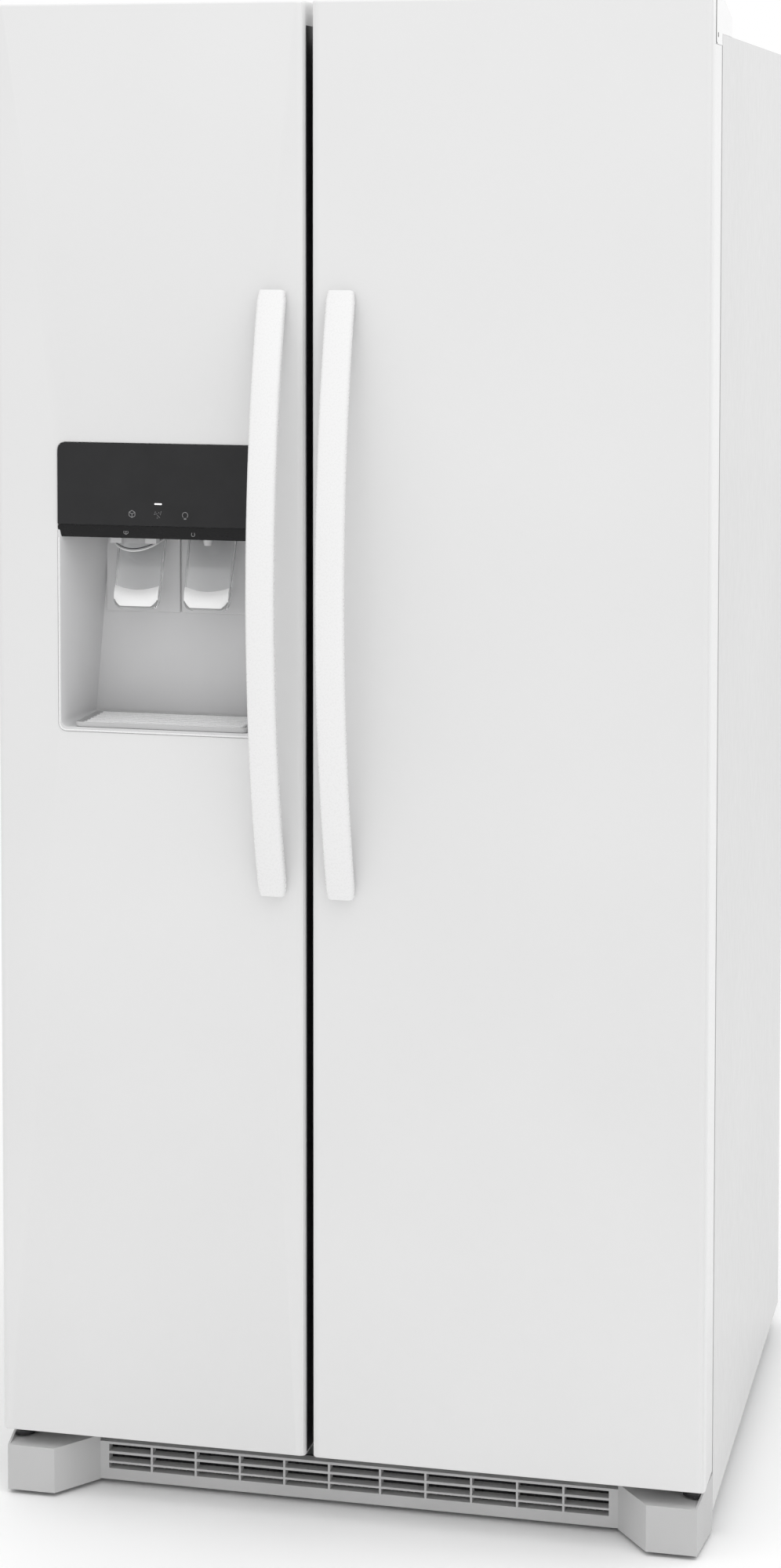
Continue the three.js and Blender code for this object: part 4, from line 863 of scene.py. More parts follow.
def paddle_plate(x, plane, z):
    """A paddle's channel: its cross-section is a shallow C whose sides turn back, and both sides
    come in a little towards the lower edge, which is rounded by narrowing the last rings."""
    rings = []
    middle, half = mid(x), (x[1] - x[0]) / 2
    low, high = z
    turn_back, wall, corner, rounding = 0.0055, 0.0018, 0.0016, 0.010
    heights = np.concatenate([low + rounding * (1 - np.cos(np.linspace(0.0, math.pi / 2, 8))),
                              np.linspace(low + 0.02, high, 8)])
    for height in heights:
        up = (height - low) / (high - low)
        wide = half * (0.95 + 0.05 * up)
        if height < low + rounding:
            missing = max(rounding ** 2 - (low + rounding - height) ** 2, 0.0)
            wide -= rounding - math.sqrt(missing)
        front = plane - 0.0015 - 0.0012 * math.sin(math.pi * up)
        back, inner = wide - wall, front + wall
        right = [(wide - corner, front), (wide, front + corner), (wide, front + turn_back),
                 (back, front + turn_back), (back, inner + 0.0008), (back - 0.0008, inner)]
        outline = [(-a, b) for a, b in right[2::-1]] + right + [(-a, b) for a, b in right[:2:-1]]
        rings.append(placed(np.array(outline) + (middle, 0.0), 2, height))
    return loft(rings)


def paddle_pad(x, plane, z):
    """The soft pad on a paddle's lower part. Across it, the top edge dips in the middle by a
    parabola and the face bulges forward by a half sine."""
    middle, half = mid(x), (x[1] - x[0]) / 2 * 0.95 - 0.001
    rings = []
    for s in np.linspace(-1.0, 1.0, 21):
        top = z[0] + 0.0215 + 0.0055 * s * s
        low = z[0] + 0.0015 + 0.0085 * max(abs(s) - 0.72, 0.0) / 0.28
        v = np.linspace(0.0, 1.0, 9)
        bulge = 0.0036 * np.sin(math.pi * (0.12 + 0.8 * v)) * (1 - 0.25 * s * s)
        face = np.stack([plane - 0.0016 - bulge, low + (top - low) * v], 1)
        section = np.concatenate([face, [[plane - 0.0008, top], [plane - 0.0008, low]]])
        rings.append(np.column_stack([np.full(len(section), middle + s * half), section]))
    return loft(rings)


def leaned(part, pivot):
    """A paddle's surface turned about its pivot line so that its lower edge comes forward."""
    points, faces = part
    y, z = points[:, 1] - pivot[0], points[:, 2] - pivot[1]
    c, s = math.cos(PADDLE_LEAN), math.sin(PADDLE_LEAN)
    return np.stack([points[:, 0], pivot[0] + c * y + s * z, pivot[1] - s * y + c * z], 1), faces


class REFRIGERATOR_OT_paddles(bpy.types.Operator):
    """Make the ice and water paddles, each a clear channel with a soft white pad"""

    bl_idname = "refrigerator.paddles"
    bl_label = "Paddles"

    def execute(self, context):
        for name in ("ice_paddle", "water_paddle"):
            x, _, z = limits(name)
            plane, pivot = JOINT_AT[f"{name}_press"][1:]
            drop = (pivot - z[0] - 0.0015 * math.sin(PADDLE_LEAN)) / math.cos(PADDLE_LEAN)
            z = (pivot - drop, pivot + 0.003)
            span = grow(x, -0.003)
            axle = pin(x, 0.0023, 0.0025, 0.0005, (0.0, plane, pivot), 0, 16)
            plate = leaned(paddle_plate(span, plane, z), (plane, pivot))
            make(f"{name}_plate", join(plate, axle), "paddle", name, (name,), 30.0)
            pad = leaned(paddle_pad(span, plane, z), (plane, pivot))
            make(f"{name}_pad", pad, "pad", name)
            line = bend(hanging(grow(span, -0.0035), z[0] + 0.016, z[0] + 0.0014), 0.009, 6)
            rim = tube(placed(line, 1, plane - 0.002), 0.0009)
            make(f"{name}_rim", leaned(rim, (plane, pivot)), "edge", name)
        return {"FINISHED"}


class REFRIGERATOR_OT_chute_lip(bpy.types.Operator):
    """Make the curved lip round the ice chute's mouth, with a painted highlight and a painted
    shadow line along its edge
    """

    bl_idname = "refrigerator.chute_lip"
    bl_label = "Ice chute lip"

    def execute(self, context):
        x, y, z = limits("ice_chute")
        middle, half = mid(x), (x[1] - x[0]) / 2 + 0.0035
        centre = np.array([middle, y[0] + 0.0285])
        rings, edge = [], []
        for a in np.linspace(0.0, math.pi, 29):
            out = np.array([math.cos(a), -1.02 * math.sin(a)])
            at, inner = centre + half * out, centre + (half - 0.0018) * out
            low = z[0] + 0.0045 - 0.013 * math.sin(a) ** 1.5
            rings.append([(*at, low), (*inner, low), (*inner, RECESS_TOP + 0.006),
                          (*at, RECESS_TOP + 0.006)])
            edge.append((*(at + inner) / 2, low))
        make("ice_chute_lip", loft(rings), "paddle", "freezer_door")
        # The white bead along the lip's edge is a painted highlight, and the black line above it is
        # a painted shadow line.
        make("ice_chute_rim", tube(edge, 0.0011, 8), "handle", "freezer_door")
        line = np.array(edge) + (0.0, -0.0008, 0.0026)
        make("ice_chute_line", tube(line, 0.0006, 6), "black", "freezer_door")
        return {"FINISHED"}


class REFRIGERATOR_OT_drip_tray(bpy.types.Operator):
    """Make the drip tray with its ridges and raised front lip"""

    bl_idname = "refrigerator.drip_tray"
    bl_label = "Drip tray"

    def execute(self, context):
        x, y, z = DRIP
        dish = tray(x, y, z, 0.0014, 0.007, 0.0006)
        count = sizes().tray_ridges
        bars = []
        for k in range(count):
            at = y[0] + 0.009 + (y[1] - y[0] - 0.018) * k / (count - 1)
            bars.append(block(grow(x, -0.009), about(at, 0.0019),
                              (z[0] + 0.001, z[1] - 0.0006), 0.0018, 0.0014, 2, 4, 2))
        # The dish under the ridges takes the darkened tray colour: painted shade.
        make("drip_tray_dish", dish, "well", "freezer_door", ("drip_tray",), 30.0)
        make("drip_tray_ridges", join(*bars), "tray", "freezer_door")
        return {"FINISHED"}


class REFRIGERATOR_OT_hinge_cams(bpy.types.Operator):
    """Make the white lift cams between each door and its lower hinge"""

    bl_idname = "refrigerator.hinge_cams"
    bl_label = "Hinge cams"

    def execute(self, context):
        base = limits("fresh_food_door_skin")[2][0] - 0.0093
        for name in DOORS:
            at = JOINT_AT[f"{name}_door_hinge"]
            cam = turned([(0.0064, 0.0), (0.0078, 0.0), (0.0112, 0.004), (0.0116, 0.0055),
                          (0.0116, 0.0082), (0.0110, 0.0088), (0.0064, 0.0088)],
                         (at[0], at[1], base), 2, 40)
            make(f"{name}_hinge_cam", cam, "white", "cabinet")
        return {"FINISHED"}


def carried(section, u, v, corner, axis):
    """A closed cross-section of (inset, level) points carried round a rectangle as one looped
    surface. The corner's radius is a rule that takes the inset."""
    rings = [placed(outline_box(grow(u, -inset), grow(v, -inset), corner(inset)), axis, at)
             for inset, at in section]
    return loft(rings, looped=True)


def gasket(x, y, z, width, lips):
    """A bellows seal round a doorway: the closed cross-section, a flat foot, folded sides and a
    flat magnet strip, is carried round a round-cornered rectangle as one looped surface."""
    fold = np.linspace(0.0, 1.0, 6 * lips + 1)
    wave = 0.0011 * (1 - np.cos(2 * math.pi * lips * fold)) / 2
    depth = y[0] + (y[1] - y[0]) * fold
    outer = np.stack([wave, depth], 1)
    inner = np.stack([width - wave[::-1], depth[::-1]], 1)
    section = np.concatenate([outer, inner])
    return carried(section, x, z, lambda inset: max(0.006 - inset * 0.1, 0.003), 1)


class REFRIGERATOR_OT_cover_shade_seams(bpy.types.Operator):
    """Make the black seam strips where the hinge covers meet the doors, painted shade along that
    joint, and the black screws
    """

    bl_idname = "refrigerator.cover_seams"
    bl_label = "Hinge cover shade seams"

    def execute(self, context):
        x, y, z = limits("hinge_cover_right")
        outer = (x[1] - 0.004, x[1] + 0.00005)
        # The upright and the foot are painted shade along the joint; the screw is a black screw.
        upright = block(outer, (y[0] + 0.0041, y[0] + 0.0063), (z[0] + 0.0002, z[1] - 0.0002),
                        0.001, 0.00004, axis=0)
        foot = block(outer, (y[0] + 0.0045, y[0] + 0.0125), (z[0] + 0.0002, z[0] + 0.0017),
                     0.0006, 0.00004, axis=0)
        at = (x[1], y[0] + 0.0225, z[0] + 0.0105)
        screw = turned([(0, -0.003), (0.0028, -0.003), (0.0028, 0.00002), (0.0022, 0.00005),
                        (0.0018, -0.0004), (0, -0.0004)], at, 0, 24)
        right = join(upright, foot, screw)
        for hand, part in (("right", right), ("left", mirrored(right))):
            make(f"hinge_cover_shade_seam_{hand}", part, "black", "cabinet")
        return {"FINISHED"}


class REFRIGERATOR_OT_toe_shade_sheet(bpy.types.Operator):
    """Make the pleated black sheet behind the toe grille's slots: painted shade that darkens the
    openings
    """

    bl_idname = "refrigerator.toe_screen"
    bl_label = "Toe grille shade sheet"

    def execute(self, context):
        z = limits("toe_grille")[2]
        back, half, pleats = FACE + 0.0675, 0.342, 76
        across = np.linspace(-half, half, 2 * pleats + 1)
        fold = np.where(np.arange(len(across)) % 2, 0.0022, 0.0)
        front = np.stack([across, back + fold], 1)
        rear = np.stack([across, back + fold + 0.0012], 1)[::-1]
        outline = np.concatenate([front, rear])
        rings = [placed(outline, 2, height) for height in (z[0] + 0.0125, z[0] + 0.0465)]
        # The black sheet is painted shade for the dark space behind the grille's slots.
        make("toe_grille_screen", loft(rings), "black", "cabinet")
        return {"FINISHED"}


class REFRIGERATOR_OT_gaskets(bpy.types.Operator):
    """Make the folded vinyl gaskets"""

    bl_idname = "refrigerator.gaskets"
    bl_label = "Gaskets"

    def execute(self, context):
        for name, (body, _) in DOORS.items():
            node = f"{name}_gasket"
            x, y, z = limits(node)
            make(f"{name}_seal", gasket(x, y, z, 0.024, sizes().gasket_lips), "gasket",
                 body, (node,), 50.0)
        return {"FINISHED"}


class REFRIGERATOR_OT_bins(bpy.types.Operator):
    """Make the clear door bins and their white front bands"""

    bl_idname = "refrigerator.bins"
    bl_label = "Door bins"

    def execute(self, context):
        places = [(f"{side}_bin_{level}", body) for side, body in (
            ("freezer", "freezer_door"), ("fresh", "fresh_food_door")) for level in ("low", "high")]
        for node, body in places:
            x, y, z = limits(node)
            tub = tray(x, y, z, 0.0025, 0.014, 0.004, 0.0015)
            make(f"{node}_tub", tub, "clear", body, (node,), 30.0)
            band = block(grow(x, -0.016), (y[1] - 0.0022, y[1] - 0.0002),
                         (z[1] - 0.032, z[1] - 0.006), 0.002, 0.0006, axis=1)
            make(f"{node}_band", band, "white", body)
        return {"FINISHED"}


class REFRIGERATOR_OT_drawers(bpy.types.Operator):
    """Make the two crisper drawers with their fronts and finger grips"""

    bl_idname = "refrigerator.drawers"
    bl_label = "Crisper drawers"

    def execute(self, context):
        for node in ("lower_crisper", "upper_crisper"):
            x, y, z = limits(node)
            inner_x = grow(x, -0.004)
            tub = tray(inner_x, (y[0] + 0.006, y[1]), (z[0], z[1] - 0.004), 0.0025, 0.012, 0.004,
                       0.002)
            front = block(x, (y[0] + 0.001, y[0] + 0.008), z, 0.008, 0.002, axis=1)
            make(f"{node}_tub", join(tub, front), "clear", node, (node,), 30.0)
            grip_x = grow(x, -0.085)
            grip = block(grip_x, (y[0], y[0] + 0.006), (z[1] - 0.024, z[1] - 0.004), 0.003, 0.0015,
                         axis=1)
            make(f"{node}_grip", grip, "white", node)
        return {"FINISHED"}


class REFRIGERATOR_OT_shelves(bpy.types.Operator):
    """Make the glass shelves: a pane held in a white moulded frame with a deep front lip"""

    bl_idname = "refrigerator.shelves"
    bl_label = "Glass shelves"

    def execute(self, context):
        for node in ("glass_shelf_low", "glass_shelf_middle", "glass_shelf_high", "crisper_cover"):
            x, y, z = limits(node)
            deck = z[1] - 0.010 if node != "crisper_cover" else z[1] - 0.006
            pane = block(grow(x, -0.008), (y[0] + 0.008, y[1] - 0.008), (deck, deck + 0.004),
                         0.004, 0.0005)
            make(f"{node}_pane", pane, "glass", "cabinet", (node,), 30.0)
            rim_z = (deck - 0.008, deck + 0.0055)
            section = outline_box((0.0, 0.012), rim_z, 0.002, 3)
            rim = carried(section, x, y, lambda inset: max(0.010 - inset * 0.6, 0.002), 2)
            lip = block(x, (y[0], y[0] + 0.009), z, 0.003, 0.002, axis=0)
            make(f"{node}_frame", join(rim, lip), "white", "cabinet")
        return {"FINISHED"}


class REFRIGERATOR_OT_wire_fittings(bpy.types.Operator):
    """Make the freezer's wire shelves and sliding basket from round coated wire"""

    bl_idname = "refrigerator.wire_fittings"
    bl_label = "Wire shelves and basket"

    def execute(self, context):
        for node in ("freezer_shelf_low", "freezer_shelf_high"):
            x, y, z = limits(node)
            level = z[0] + 0.003
            (left, right), (front, back) = grow(x, -0.003), grow(y, -0.003)
            corners = [(left, y[0] + 0.02), (left, front), (right, front), (right, back),
                       (left, back), (left, y[0] + 0.02)]
            around = bend([(*corner, level) for corner in corners], 0.008, 5)[1:-1]
            parts = [tube(around, 0.0028, 10, looped=True)]
            for at in (y[0] + (y[1] - y[0]) * f for f in (0.33, 0.66)):
                parts.append(tube([(left, at, level), (right, at, level)], 0.0024))
            across = np.linspace(x[0] + 0.016, x[1] - 0.016, 15)
            parts += [tube([(a, y[0] + 0.002, level + 0.003), (a, y[1] - 0.002, level + 0.003)],
                           0.0015) for a in across]
            make(f"{node}_wires", join(*parts), "wire", "cabinet", (node,))
        x, y, z = limits("freezer_basket")
        parts = []
        inner = (grow(x, -0.003), grow(y, -0.003))
        for level, radius in ((z[1] - 0.003, 0.0028), (mid(z), 0.0018),
                              (z[0] + 0.003, 0.0022)):
            path = placed(outline_box(*inner, 0.012, 5), 2, level)
            parts.append(tube(path, radius, 10, looped=True))
        for axis, inset, count, floor in ((0, 0.014, 11, 0.002), (1, 0.016, 12, 0.0045)):
            path = bend(hanging(inner[1 - axis], z[1] - 0.003, z[0] + floor), 0.01, 4)
            for at in np.linspace(inner[axis][0] + inset, inner[axis][1] - inset, count):
                parts.append(tube(placed(path, axis, at), 0.0014))
        make("freezer_basket_wires", join(*parts), "wire", "freezer_basket",
             ("freezer_basket",))
        return {"FINISHED"}


def blade_wheel(centre, axis, radius, count, depth):
    """A fan: a domed hub and blades. A blade's cross-section at distance r is a thin ellipse,
    pitched by an angle that falls from hub to tip."""
    hub_radius = radius * 0.3
    parts = []
    others = [k for k in range(3) if k != axis]
    angle = np.linspace(0.0, 2 * math.pi, 14, endpoint=False)
    for k in range(count):
        turn = k * 2 * math.pi / count
        along = np.array([math.cos(turn), math.sin(turn)])
        side = np.array([-along[1], along[0]])
        rings = []
        for r in np.linspace(hub_radius * 0.8, radius, 9):
            f = (r - hub_radius) / (radius - hub_radius)
            pitch = 0.75 - 0.3 * f
            chord = radius * (0.24 + 0.1 * math.sin(math.pi * max(f, 0.0) * 0.8))
            a, b = chord * np.cos(angle), 0.0009 * np.sin(angle)
            sideways = a * math.cos(pitch) - b * math.sin(pitch)
            deep = np.clip(a * math.sin(pitch) + b * math.cos(pitch), -depth, depth)
            ring = np.zeros((len(angle), 3))
            reach = r * 0.995
            ring[:, others[0]] = centre[others[0]] + along[0] * reach + side[0] * sideways
            ring[:, others[1]] = centre[others[1]] + along[1] * reach + side[1] * sideways
            ring[:, axis] = centre[axis] + deep
            rings.append(ring)
        parts.append(loft(rings))
    hub = turned([(0, -depth), (hub_radius * 0.7, -depth), (hub_radius, -depth * 0.6),
                  (hub_radius, depth * 0.6), (hub_radius * 0.8, depth), (0, depth)],
                 centre, axis, 32)
    return join(hub, *parts)


class REFRIGERATOR_OT_fans(bpy.types.Operator):
    """Make the evaporator and condenser fans with twisted blades"""

    bl_idname = "refrigerator.fans"
    bl_label = "Fans"

    def execute(self, context):
        for node, axis in (("evaporator_fan", 1), ("condenser_fan", 0)):
            box = limits(node)
            across = [k for k in range(3) if k != axis]
            at = list(JOINT_AT[f"{node}_spin"])
            at[axis] = mid(box[axis])
            radius = min(min(box[k][1] - at[k], at[k] - box[k][0]) for k in across)
            depth = (box[axis][1] - box[axis][0]) / 2 - 0.0005
            make(f"{node}_wheel", blade_wheel(at, axis, radius, 5, depth), "black",
                 node, (node,), 35.0)
        return {"FINISHED"}


class REFRIGERATOR_OT_ice_bin(bpy.types.Operator):
    """Make the ice bin, its white front and the spiral auger"""

    bl_idname = "refrigerator.ice_bin"
    bl_label = "Ice bin and auger"

    def execute(self, context):
        x, y, z = limits("ice_bin")
        tub = tray(x, y, z, 0.003, 0.016, 0.004)
        make("ice_bin_tub", tub, "clear", "ice_bin", ("ice_bin",), 30.0)
        front = block(grow(x, -0.018), (y[0] + 0.0002, y[0] + 0.0026), (z[0] + 0.02, z[1] - 0.012),
                      0.008, 0.0008, axis=1)
        make("ice_bin_front", front, "white", "ice_bin")
        bx, by, bz = limits("ice_auger")
        at = JOINT_AT["ice_auger_spin"]
        radius = min(at[0] - bx[0], bx[1] - at[0], bz[1] - at[2], at[2] - bz[0]) - 0.0045
        turns = 3.5
        t = np.linspace(0.0, 1.0, 120)
        angle = t * turns * 2 * math.pi
        start, end = by[0] + 0.011, by[1] - 0.016
        grown = radius * np.minimum(1.0, 0.15 + 8 * np.minimum(t, 1 - t))
        path = np.stack([at[0] + grown * np.cos(angle), start + (end - start) * t,
                         at[2] + grown * np.sin(angle)], 1)
        shaft = pin(by, 0.0062, 0.007, 0.0008, (at[0], 0.0, at[2]), 1, 20)
        make("ice_auger_spiral", join(tube(path, 0.0042, 10), shaft), "aluminium",
             "ice_auger", ("ice_auger",))
        return {"FINISHED"}


class REFRIGERATOR_OT_compressor(bpy.types.Operator):
    """Make the compressor: a welded pot on a foot plate and rubber pads, with its stub pipes"""

    bl_idname = "refrigerator.compressor"
    bl_label = "Compressor"

    def execute(self, context):
        x, y, z = limits("compressor")
        middle = (mid(x), mid(y), z[0])
        high, wide = z[1] - z[0], 0.088
        turn = np.linspace(0.0, math.pi / 2, 9)
        dome = [(wide * math.cos(a), high * 0.62 + high * 0.38 * math.sin(a)) for a in turn]
        pot = turned([(0, 0.012), (0.06, 0.012), (0.082, 0.026), (wide, 0.05), (wide, 0.098),
                      (0.0895, 0.1), (0.0895, 0.104), (wide, 0.106), *dome[:-1],
                      (0.0, high)], middle, 2, 56)
        foot = block(grow(x, -0.001), grow(y, -0.003), (z[0] + 0.004, z[0] + 0.0075), 0.02, 0.0008)
        pad = [(0, 0), (0.009, 0), (0.0105, 0.002), (0.0095, 0.006), (0.0105, 0.0095),
               (0.006, 0.012), (0, 0.012)]
        pads = [turned(pad, (middle[0] + a * 0.08, middle[1] + b * 0.07, z[0]), 2, 20)
                for a in (-1, 1) for b in (-1, 1)]
        box_side = block(about(middle[0], 0.02), (middle[1] - 0.0935, middle[1] - 0.08),
                         (z[0] + 0.04, z[0] + 0.085), 0.005, 0.002, axis=1)
        pipe = [(0.05, 0.04, z[0] + high * 0.8), (0.05, 0.04, z[1] - 0.004),
                (0.085, 0.055, z[1] - 0.004)]
        stub = tube(bend([(middle[0] + a, middle[1] + b, c) for a, b, c in pipe], 0.012, 6),
                    0.003, 10)
        make("compressor_pot", join(pot, foot, *pads, box_side, stub), "black_paint",
             "cabinet", ("compressor",), 30.0)
        return {"FINISHED"}


def fins(places, y, z):
    """Thin upright plates, one at each place across."""
    return join(*[block(about(at, 0.0002), y, z, 0.002, 0.0001, 0, 2, 1) for at in places])


class REFRIGERATOR_OT_condenser(bpy.types.Operator):
    """Add the condenser's close plates between its headers"""

    bl_idname = "refrigerator.condenser"
    bl_label = "Condenser plates"

    def execute(self, context):
        x, y, z = limits("condenser")
        plates = fins(np.linspace(x[0] + 0.03, x[1] - 0.012, sizes().fins),
                      (y[0] + 0.056, y[1] - 0.024), (z[0] + 0.05, z[1] - 0.006))
        make("condenser_plates", plates, "black_paint", "cabinet")
        return {"FINISHED"}


class REFRIGERATOR_OT_rollers(bpy.types.Operator):
    """Make the four rollers: hubbed wheels with a grooved tread"""

    bl_idname = "refrigerator.rollers"
    bl_label = "Rollers"

    def execute(self, context):
        for end in ("front", "rear"):
            for hand in ("left", "right"):
                node = f"{end}_roller_{hand}"
                x, y, z = limits(node)
                at = (mid(x), mid(y), mid(z))
                radius, half = (z[1] - z[0]) / 2, (x[1] - x[0]) / 2
                side = [(0.0046, 1.0), (0.0075, 1.0), (0.0075, 0.6), (0.0135, 0.5), (0.0145, 1.0),
                        (radius - 0.001, 1.0), (radius, 0.85), (radius, 0.2)]
                wheel = [(r, -half * out) for r, out in side] + [(radius - 0.0008, 0.0)]
                wheel += [(r, half * out) for r, out in side[::-1]]
                rings = turned(wheel, at, 0, 40)
                make(f"{node}_wheel", rings, "roller", node, (node,), 30.0)
        return {"FINISHED"}


class REFRIGERATOR_OT_dairy(bpy.types.Operator):
    """Make the dairy compartment and its lift-up lid"""

    bl_idname = "refrigerator.dairy"
    bl_label = "Dairy compartment"

    def execute(self, context):
        x, y, z = limits("dairy_box")
        floor = block(x, y, (z[0], z[0] + 0.0025), 0.006, 0.001)
        rear = block(x, (y[0], y[0] + 0.0022), z, 0.006, 0.001, axis=1)
        cheeks = [block((low, low + 0.0025), y, z, 0.006, 0.001, axis=0)
                  for low in (x[0], x[1] - 0.0025)]
        sill = block(x, (y[1] - 0.0025, y[1]), (z[0], z[0] + 0.0095), 0.004, 0.001, axis=1)
        make("dairy_tub", join(floor, rear, *cheeks, sill), "clear", "fresh_food_door",
             ("dairy_box",), 30.0)
        x, y, z = limits("dairy_lid")
        top = z[1] - 0.0035
        lid = block(x, (y[0] + 0.0028, y[0] + 0.0048), (z[0], top), 0.009, 0.0009, axis=1)
        barrel = pin(x, 0.0018, 0.0022, 0.0006, (0.0, y[0] + 0.0034, z[1] - 0.0033), 0, 14)
        grip = tube(bend([(x[0] + 0.11, y[1] - 0.0018, z[0] + 0.008),
                          (x[0] + 0.13, y[1] - 0.0016, z[0] + 0.0045),
                          (x[1] - 0.13, y[1] - 0.0016, z[0] + 0.0045),
                          (x[1] - 0.11, y[1] - 0.0018, z[0] + 0.008)], 0.008, 5), 0.0015, 10)
        make("dairy_lid_pane", join(lid, barrel, grip), "clear", "dairy_lid",
             ("dairy_lid",), 30.0)
        return {"FINISHED"}


class REFRIGERATOR_OT_controls(bpy.types.Operator):
    """Make the dials, lamp windows and air slots of the fresh food control housing"""

    bl_idname = "refrigerator.controls"
    bl_label = "Control housing details"

    def execute(self, context):
        x, y, z = limits("control_housing")
        dials, ticks = [], []
        dial = [(0, 0.0), (0.0165, 0.0), (0.0165, -0.003), (0.0135, -0.0058), (0, -0.0064)]
        tick = [(0, 0.0004), (0.0008, 0.0004), (0.0008, -0.0003), (0, -0.0003)]
        for at in grow(x, -0.05):
            dials.append(turned(dial, (at, y[0] + 0.0002, z[1] - 0.024), 1, 36))
            dials.append(block(about(at, 0.0022), (y[0] - 0.0108, y[0] - 0.003),
                               (z[1] - 0.0385, z[1] - 0.0095), 0.002, 0.0012, axis=0))
            for a in np.linspace(-2.1, 2.1, 9):
                spot = (at + 0.0205 * math.sin(a), y[0] - 0.0001,
                        z[1] - 0.024 + 0.0205 * math.cos(a))
                ticks.append(turned(tick, spot, 1, 10))
        make("control_dials", join(*dials), "white", "cabinet")
        make("control_ticks", join(*ticks), "black", "cabinet")
        window = block((x[0] + 0.07, x[1] - 0.07), (y[0] + 0.045, y[0] + 0.165),
                       (z[0] - 0.0025, z[0] + 0.0012), 0.01, 0.0012)
        ribs = [block(about(at, 0.0009), (y[0] + 0.05, y[0] + 0.16),
                      (z[0] - 0.0034, z[0] - 0.0015), 0.0008, 0.0005, 2, 3, 1)
                for at in np.linspace(x[0] + 0.078, x[1] - 0.078, 17)]
        make("lamp_window", join(window, *ribs), "clear", "cabinet")
        return {"FINISHED"}


class REFRIGERATOR_OT_rear_details(bpy.types.Operator):
    """Make the rear panel's pressed beads and screws and the machine cover's screws"""

    bl_idname = "refrigerator.rear_details"
    bl_label = "Rear details"

    def execute(self, context):
        x, y, z = limits("rear_panel")
        low = limits("machine_cover")[2]
        beads = []
        for left, right in ((x[0] + 0.06, -0.05), (0.05, x[1] - 0.06)):
            path = placed(outline_box((left, right), (z[0] + 0.09, z[1] - 0.09), 0.03, 6), 1,
                          y[1] - 0.0012)
            beads.append(tube(path, 0.0012, 8, looped=True))
        make("rear_panel_beads", join(*beads), "galvanized", "cabinet")
        columns = grow(x, -0.012)
        across = np.linspace(x[0] + 0.13, x[1] - 0.13, 5)
        spots = [(a, b) for a in columns for b in np.linspace(z[0] + 0.05, z[1] - 0.03, 7)]
        spots += [(a, z[1] - 0.012) for a in across]
        spots += [(a, b) for a in columns for b in (low[0] + 0.025, low[1] - 0.03)]
        spots += [(a, low[1] - 0.012) for a in across]
        head = [(0, -0.0014), (0.0046, -0.0014), (0.0046, -0.0008), (0.0034, -0.0001), (0, 0.0)]
        screws = [turned(head, (a, y[1], b), 1, 14) for a, b in spots]
        make("rear_screws", join(*screws), "zinc", "cabinet")
        return {"FINISHED"}


class REFRIGERATOR_OT_ice_maker(bpy.types.Operator):
    """Make the ice maker's mould, ejector fingers and motor housing"""

    bl_idname = "refrigerator.ice_maker"
    bl_label = "Ice maker details"

    def execute(self, context):
        x, y, z = limits("ice_maker")
        middle = mid(x)
        cap = block((x[0] + 0.004, x[1] - 0.004), (y[0] + 0.0002, y[0] + 0.0024),
                    (z[0] + 0.012, z[1] - 0.012), 0.01, 0.0009, axis=1)
        make("ice_maker_cap", cap, "white", "cabinet")
        level, shaft_x = z[1] - 0.0065, middle + 0.012
        fingers = []
        for at in np.linspace(y[0] + 0.075, y[1] - 0.035, 7):
            finger = [(middle - 0.03, at, z[1] - 0.0125), (middle - 0.008, at, level),
                      (shaft_x, at, level)]
            fingers.append(tube(finger, [0.0012, 0.0022, 0.0026]))
        fingers.append(tube([(shaft_x, y[0] + 0.06, level), (shaft_x, y[1] - 0.025, level)],
                            0.0034, 12))
        make("ice_maker_fingers", join(*fingers), "aluminium", "cabinet")
        return {"FINISHED"}


class REFRIGERATOR_OT_evaporator(bpy.types.Operator):
    """Add the evaporator's close fins"""

    bl_idname = "refrigerator.evaporator"
    bl_label = "Evaporator fins"

    def execute(self, context):
        x, y, z = limits("evaporator")
        plates = fins(np.linspace(x[0] + 0.014, x[1] - 0.014, 30), grow(y, -0.0006),
                      grow(z, -0.012))
        make("evaporator_fins", plates, "aluminium", "cabinet")
        return {"FINISHED"}


class REFRIGERATOR_OT_shelf_ladders(bpy.types.Operator):
    """Make the shelf ladders on the fresh food compartment's back wall, with black marks for their
    slots as painted shade
    """

    bl_idname = "refrigerator.shelf_ladders"
    bl_label = "Shelf ladders"

    def execute(self, context):
        shelf = limits("glass_shelf_low")
        liner = limits("fresh_food_liner")
        back = shelf[1][1] + 0.0006
        rails, slots = [], []
        for at in (shelf[0][0] + 0.07, shelf[0][1] - 0.07):
            rails.append(block(about(at, 0.009), (back, back + 0.004),
                               (shelf[2][0] - 0.1, liner[2][1] - 0.09), 0.004, 0.0015, axis=1))
            for height in np.arange(shelf[2][0] - 0.085, liner[2][1] - 0.1, 0.025):
                # Each slot is a black block on the rail: painted shade for the dark inside of the
                # slot.
                slots.append(block(about(at, 0.0028), (back - 0.0002, back + 0.0012),
                                   (height, height + 0.014), 0.0024, 0.0003, 1, 2, 2))
        make("shelf_ladders", join(*rails), "white", "cabinet")
        make("shelf_ladder_slots", join(*slots), "black", "cabinet")
        return {"FINISHED"}


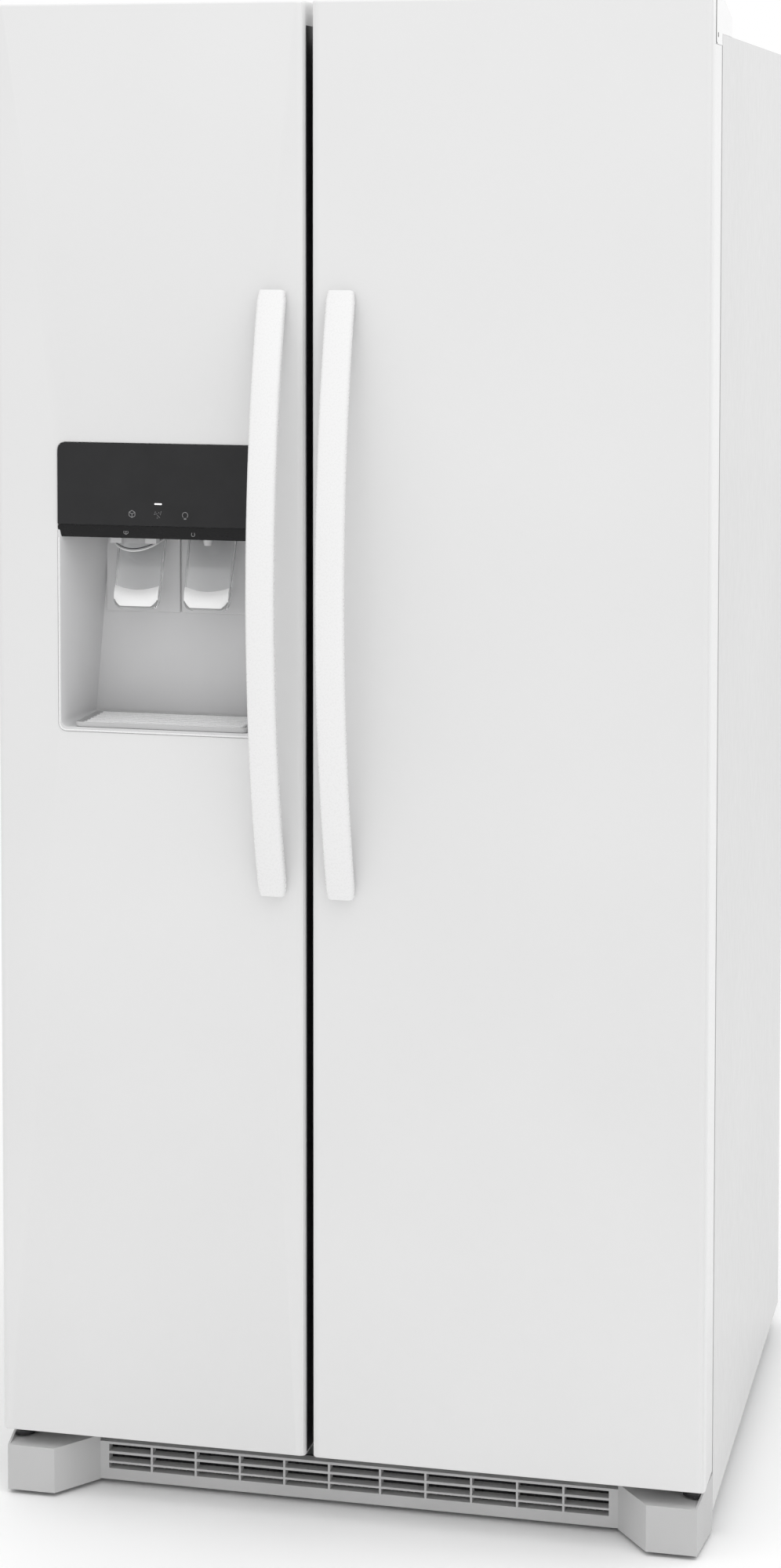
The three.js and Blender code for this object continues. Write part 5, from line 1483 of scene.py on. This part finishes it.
class REFRIGERATOR_OT_stage(bpy.types.Operator):
    """Set up the floor, the soft studio light and the camera"""

    bl_idname = "refrigerator.stage"
    bl_label = "Stage"

    def execute(self, context):
        scene = context.scene
        floor_mesh = bpy.data.meshes.new("stage_floor")
        corners = [(a, b, 0) for a, b in ((-1, -1), (1, -1), (1, 1), (-1, 1))]
        floor_mesh.from_pydata(np.multiply(corners, FLOOR_HALF).tolist(), [], [(0, 1, 2, 3)])
        pale = Finish("floor_paint", (0.95, 0.95, 0.95), 0.6)
        pale.tint(pale.noise(1.5), 0.99, 1.01).worn(pale.noise(3.0), 0.05)
        floor_mesh.materials.append(pale.material)
        floor = bpy.data.objects.new("stage_floor", floor_mesh)
        scene.collection.objects.link(floor)
        world = bpy.data.worlds.new("studio")
        world.use_nodes = True
        world.node_tree.nodes["Background"].inputs[0].default_value = (1.0, 1.0, 1.0, 1.0)
        world.node_tree.nodes["Background"].inputs[1].default_value = 1.0
        scene.world = world
        for name, at, towards, size, power in LAMPS:
            light = bpy.data.lights.new(name, "AREA")
            light.size, light.energy = size, power
            lamp = bpy.data.objects.new(name, light)
            lamp.location = at
            direction = np.array(towards) - np.array(at)
            lamp.rotation_euler = (
                math.atan2(math.hypot(direction[0], direction[1]), -direction[2]), 0.0,
                math.atan2(direction[1], direction[0]) - math.pi / 2)
            scene.collection.objects.link(lamp)
        data = bpy.data.cameras.new("camera")
        data.sensor_width, data.lens = SENSOR, LENS
        data.shift_x, data.shift_y = SHIFT
        data.clip_end = FAR_CLIP
        camera = bpy.data.objects.new("camera", data)
        camera.location = CAMERA_AT
        camera.rotation_euler = (math.radians(90.0 - CAMERA_DOWN), 0.0, math.radians(CAMERA_LEFT))
        scene.collection.objects.link(camera)
        scene.camera = camera
        scene.view_settings.view_transform = "Standard"
        return {"FINISHED"}


class REFRIGERATOR_PT_pieces(bpy.types.Panel):
    """Pieces, sizes and colours of the refrigerator"""

    bl_idname = "REFRIGERATOR_PT_pieces"
    bl_label = "Refrigerator"
    bl_space_type = "VIEW_3D"
    bl_region_type = "UI"
    bl_category = "Refrigerator"

    def draw(self, context):
        for group in (context.scene.refrigerator_sizes, context.scene.refrigerator_colours):
            box = self.layout.box()
            for name in group.__annotations__:
                box.prop(group, name)
        for operator in OPERATORS:
            self.layout.operator(operator.bl_idname)


OPERATORS = [
    REFRIGERATOR_OT_finishes,
    REFRIGERATOR_OT_doors,
    REFRIGERATOR_OT_handles,
    REFRIGERATOR_OT_gap_shade_strips,
    REFRIGERATOR_OT_recess,
    REFRIGERATOR_OT_panel,
    REFRIGERATOR_OT_paddles,
    REFRIGERATOR_OT_chute_lip,
    REFRIGERATOR_OT_drip_tray,
    REFRIGERATOR_OT_hinge_cams,
    REFRIGERATOR_OT_cover_shade_seams,
    REFRIGERATOR_OT_toe_shade_sheet,
    REFRIGERATOR_OT_gaskets,
    REFRIGERATOR_OT_bins,
    REFRIGERATOR_OT_drawers,
    REFRIGERATOR_OT_shelves,
    REFRIGERATOR_OT_wire_fittings,
    REFRIGERATOR_OT_fans,
    REFRIGERATOR_OT_ice_bin,
    REFRIGERATOR_OT_compressor,
    REFRIGERATOR_OT_condenser,
    REFRIGERATOR_OT_rollers,
    REFRIGERATOR_OT_dairy,
    REFRIGERATOR_OT_controls,
    REFRIGERATOR_OT_rear_details,
    REFRIGERATOR_OT_ice_maker,
    REFRIGERATOR_OT_evaporator,
    REFRIGERATOR_OT_shelf_ladders,
    REFRIGERATOR_OT_stage,
]
CLASSES = [RefrigeratorSizes, RefrigeratorColours, *OPERATORS, REFRIGERATOR_PT_pieces]


def register():
    """Adds the operators, the panel and the scene's settings."""
    for cls in CLASSES:
        bpy.utils.register_class(cls)
    bpy.types.Scene.refrigerator_sizes = bpy.props.PointerProperty(type=RefrigeratorSizes)
    bpy.types.Scene.refrigerator_colours = bpy.props.PointerProperty(type=RefrigeratorColours)


def unregister():
    """Takes them away again."""
    del bpy.types.Scene.refrigerator_colours
    del bpy.types.Scene.refrigerator_sizes
    for cls in reversed(CLASSES):
        bpy.utils.unregister_class(cls)


def main():
    """Builds every piece in order."""
    register()
    for operator in OPERATORS:
        group, name = operator.bl_idname.split(".")
        getattr(getattr(bpy.ops, group), name)()


if __name__ == "__main__":
    main()
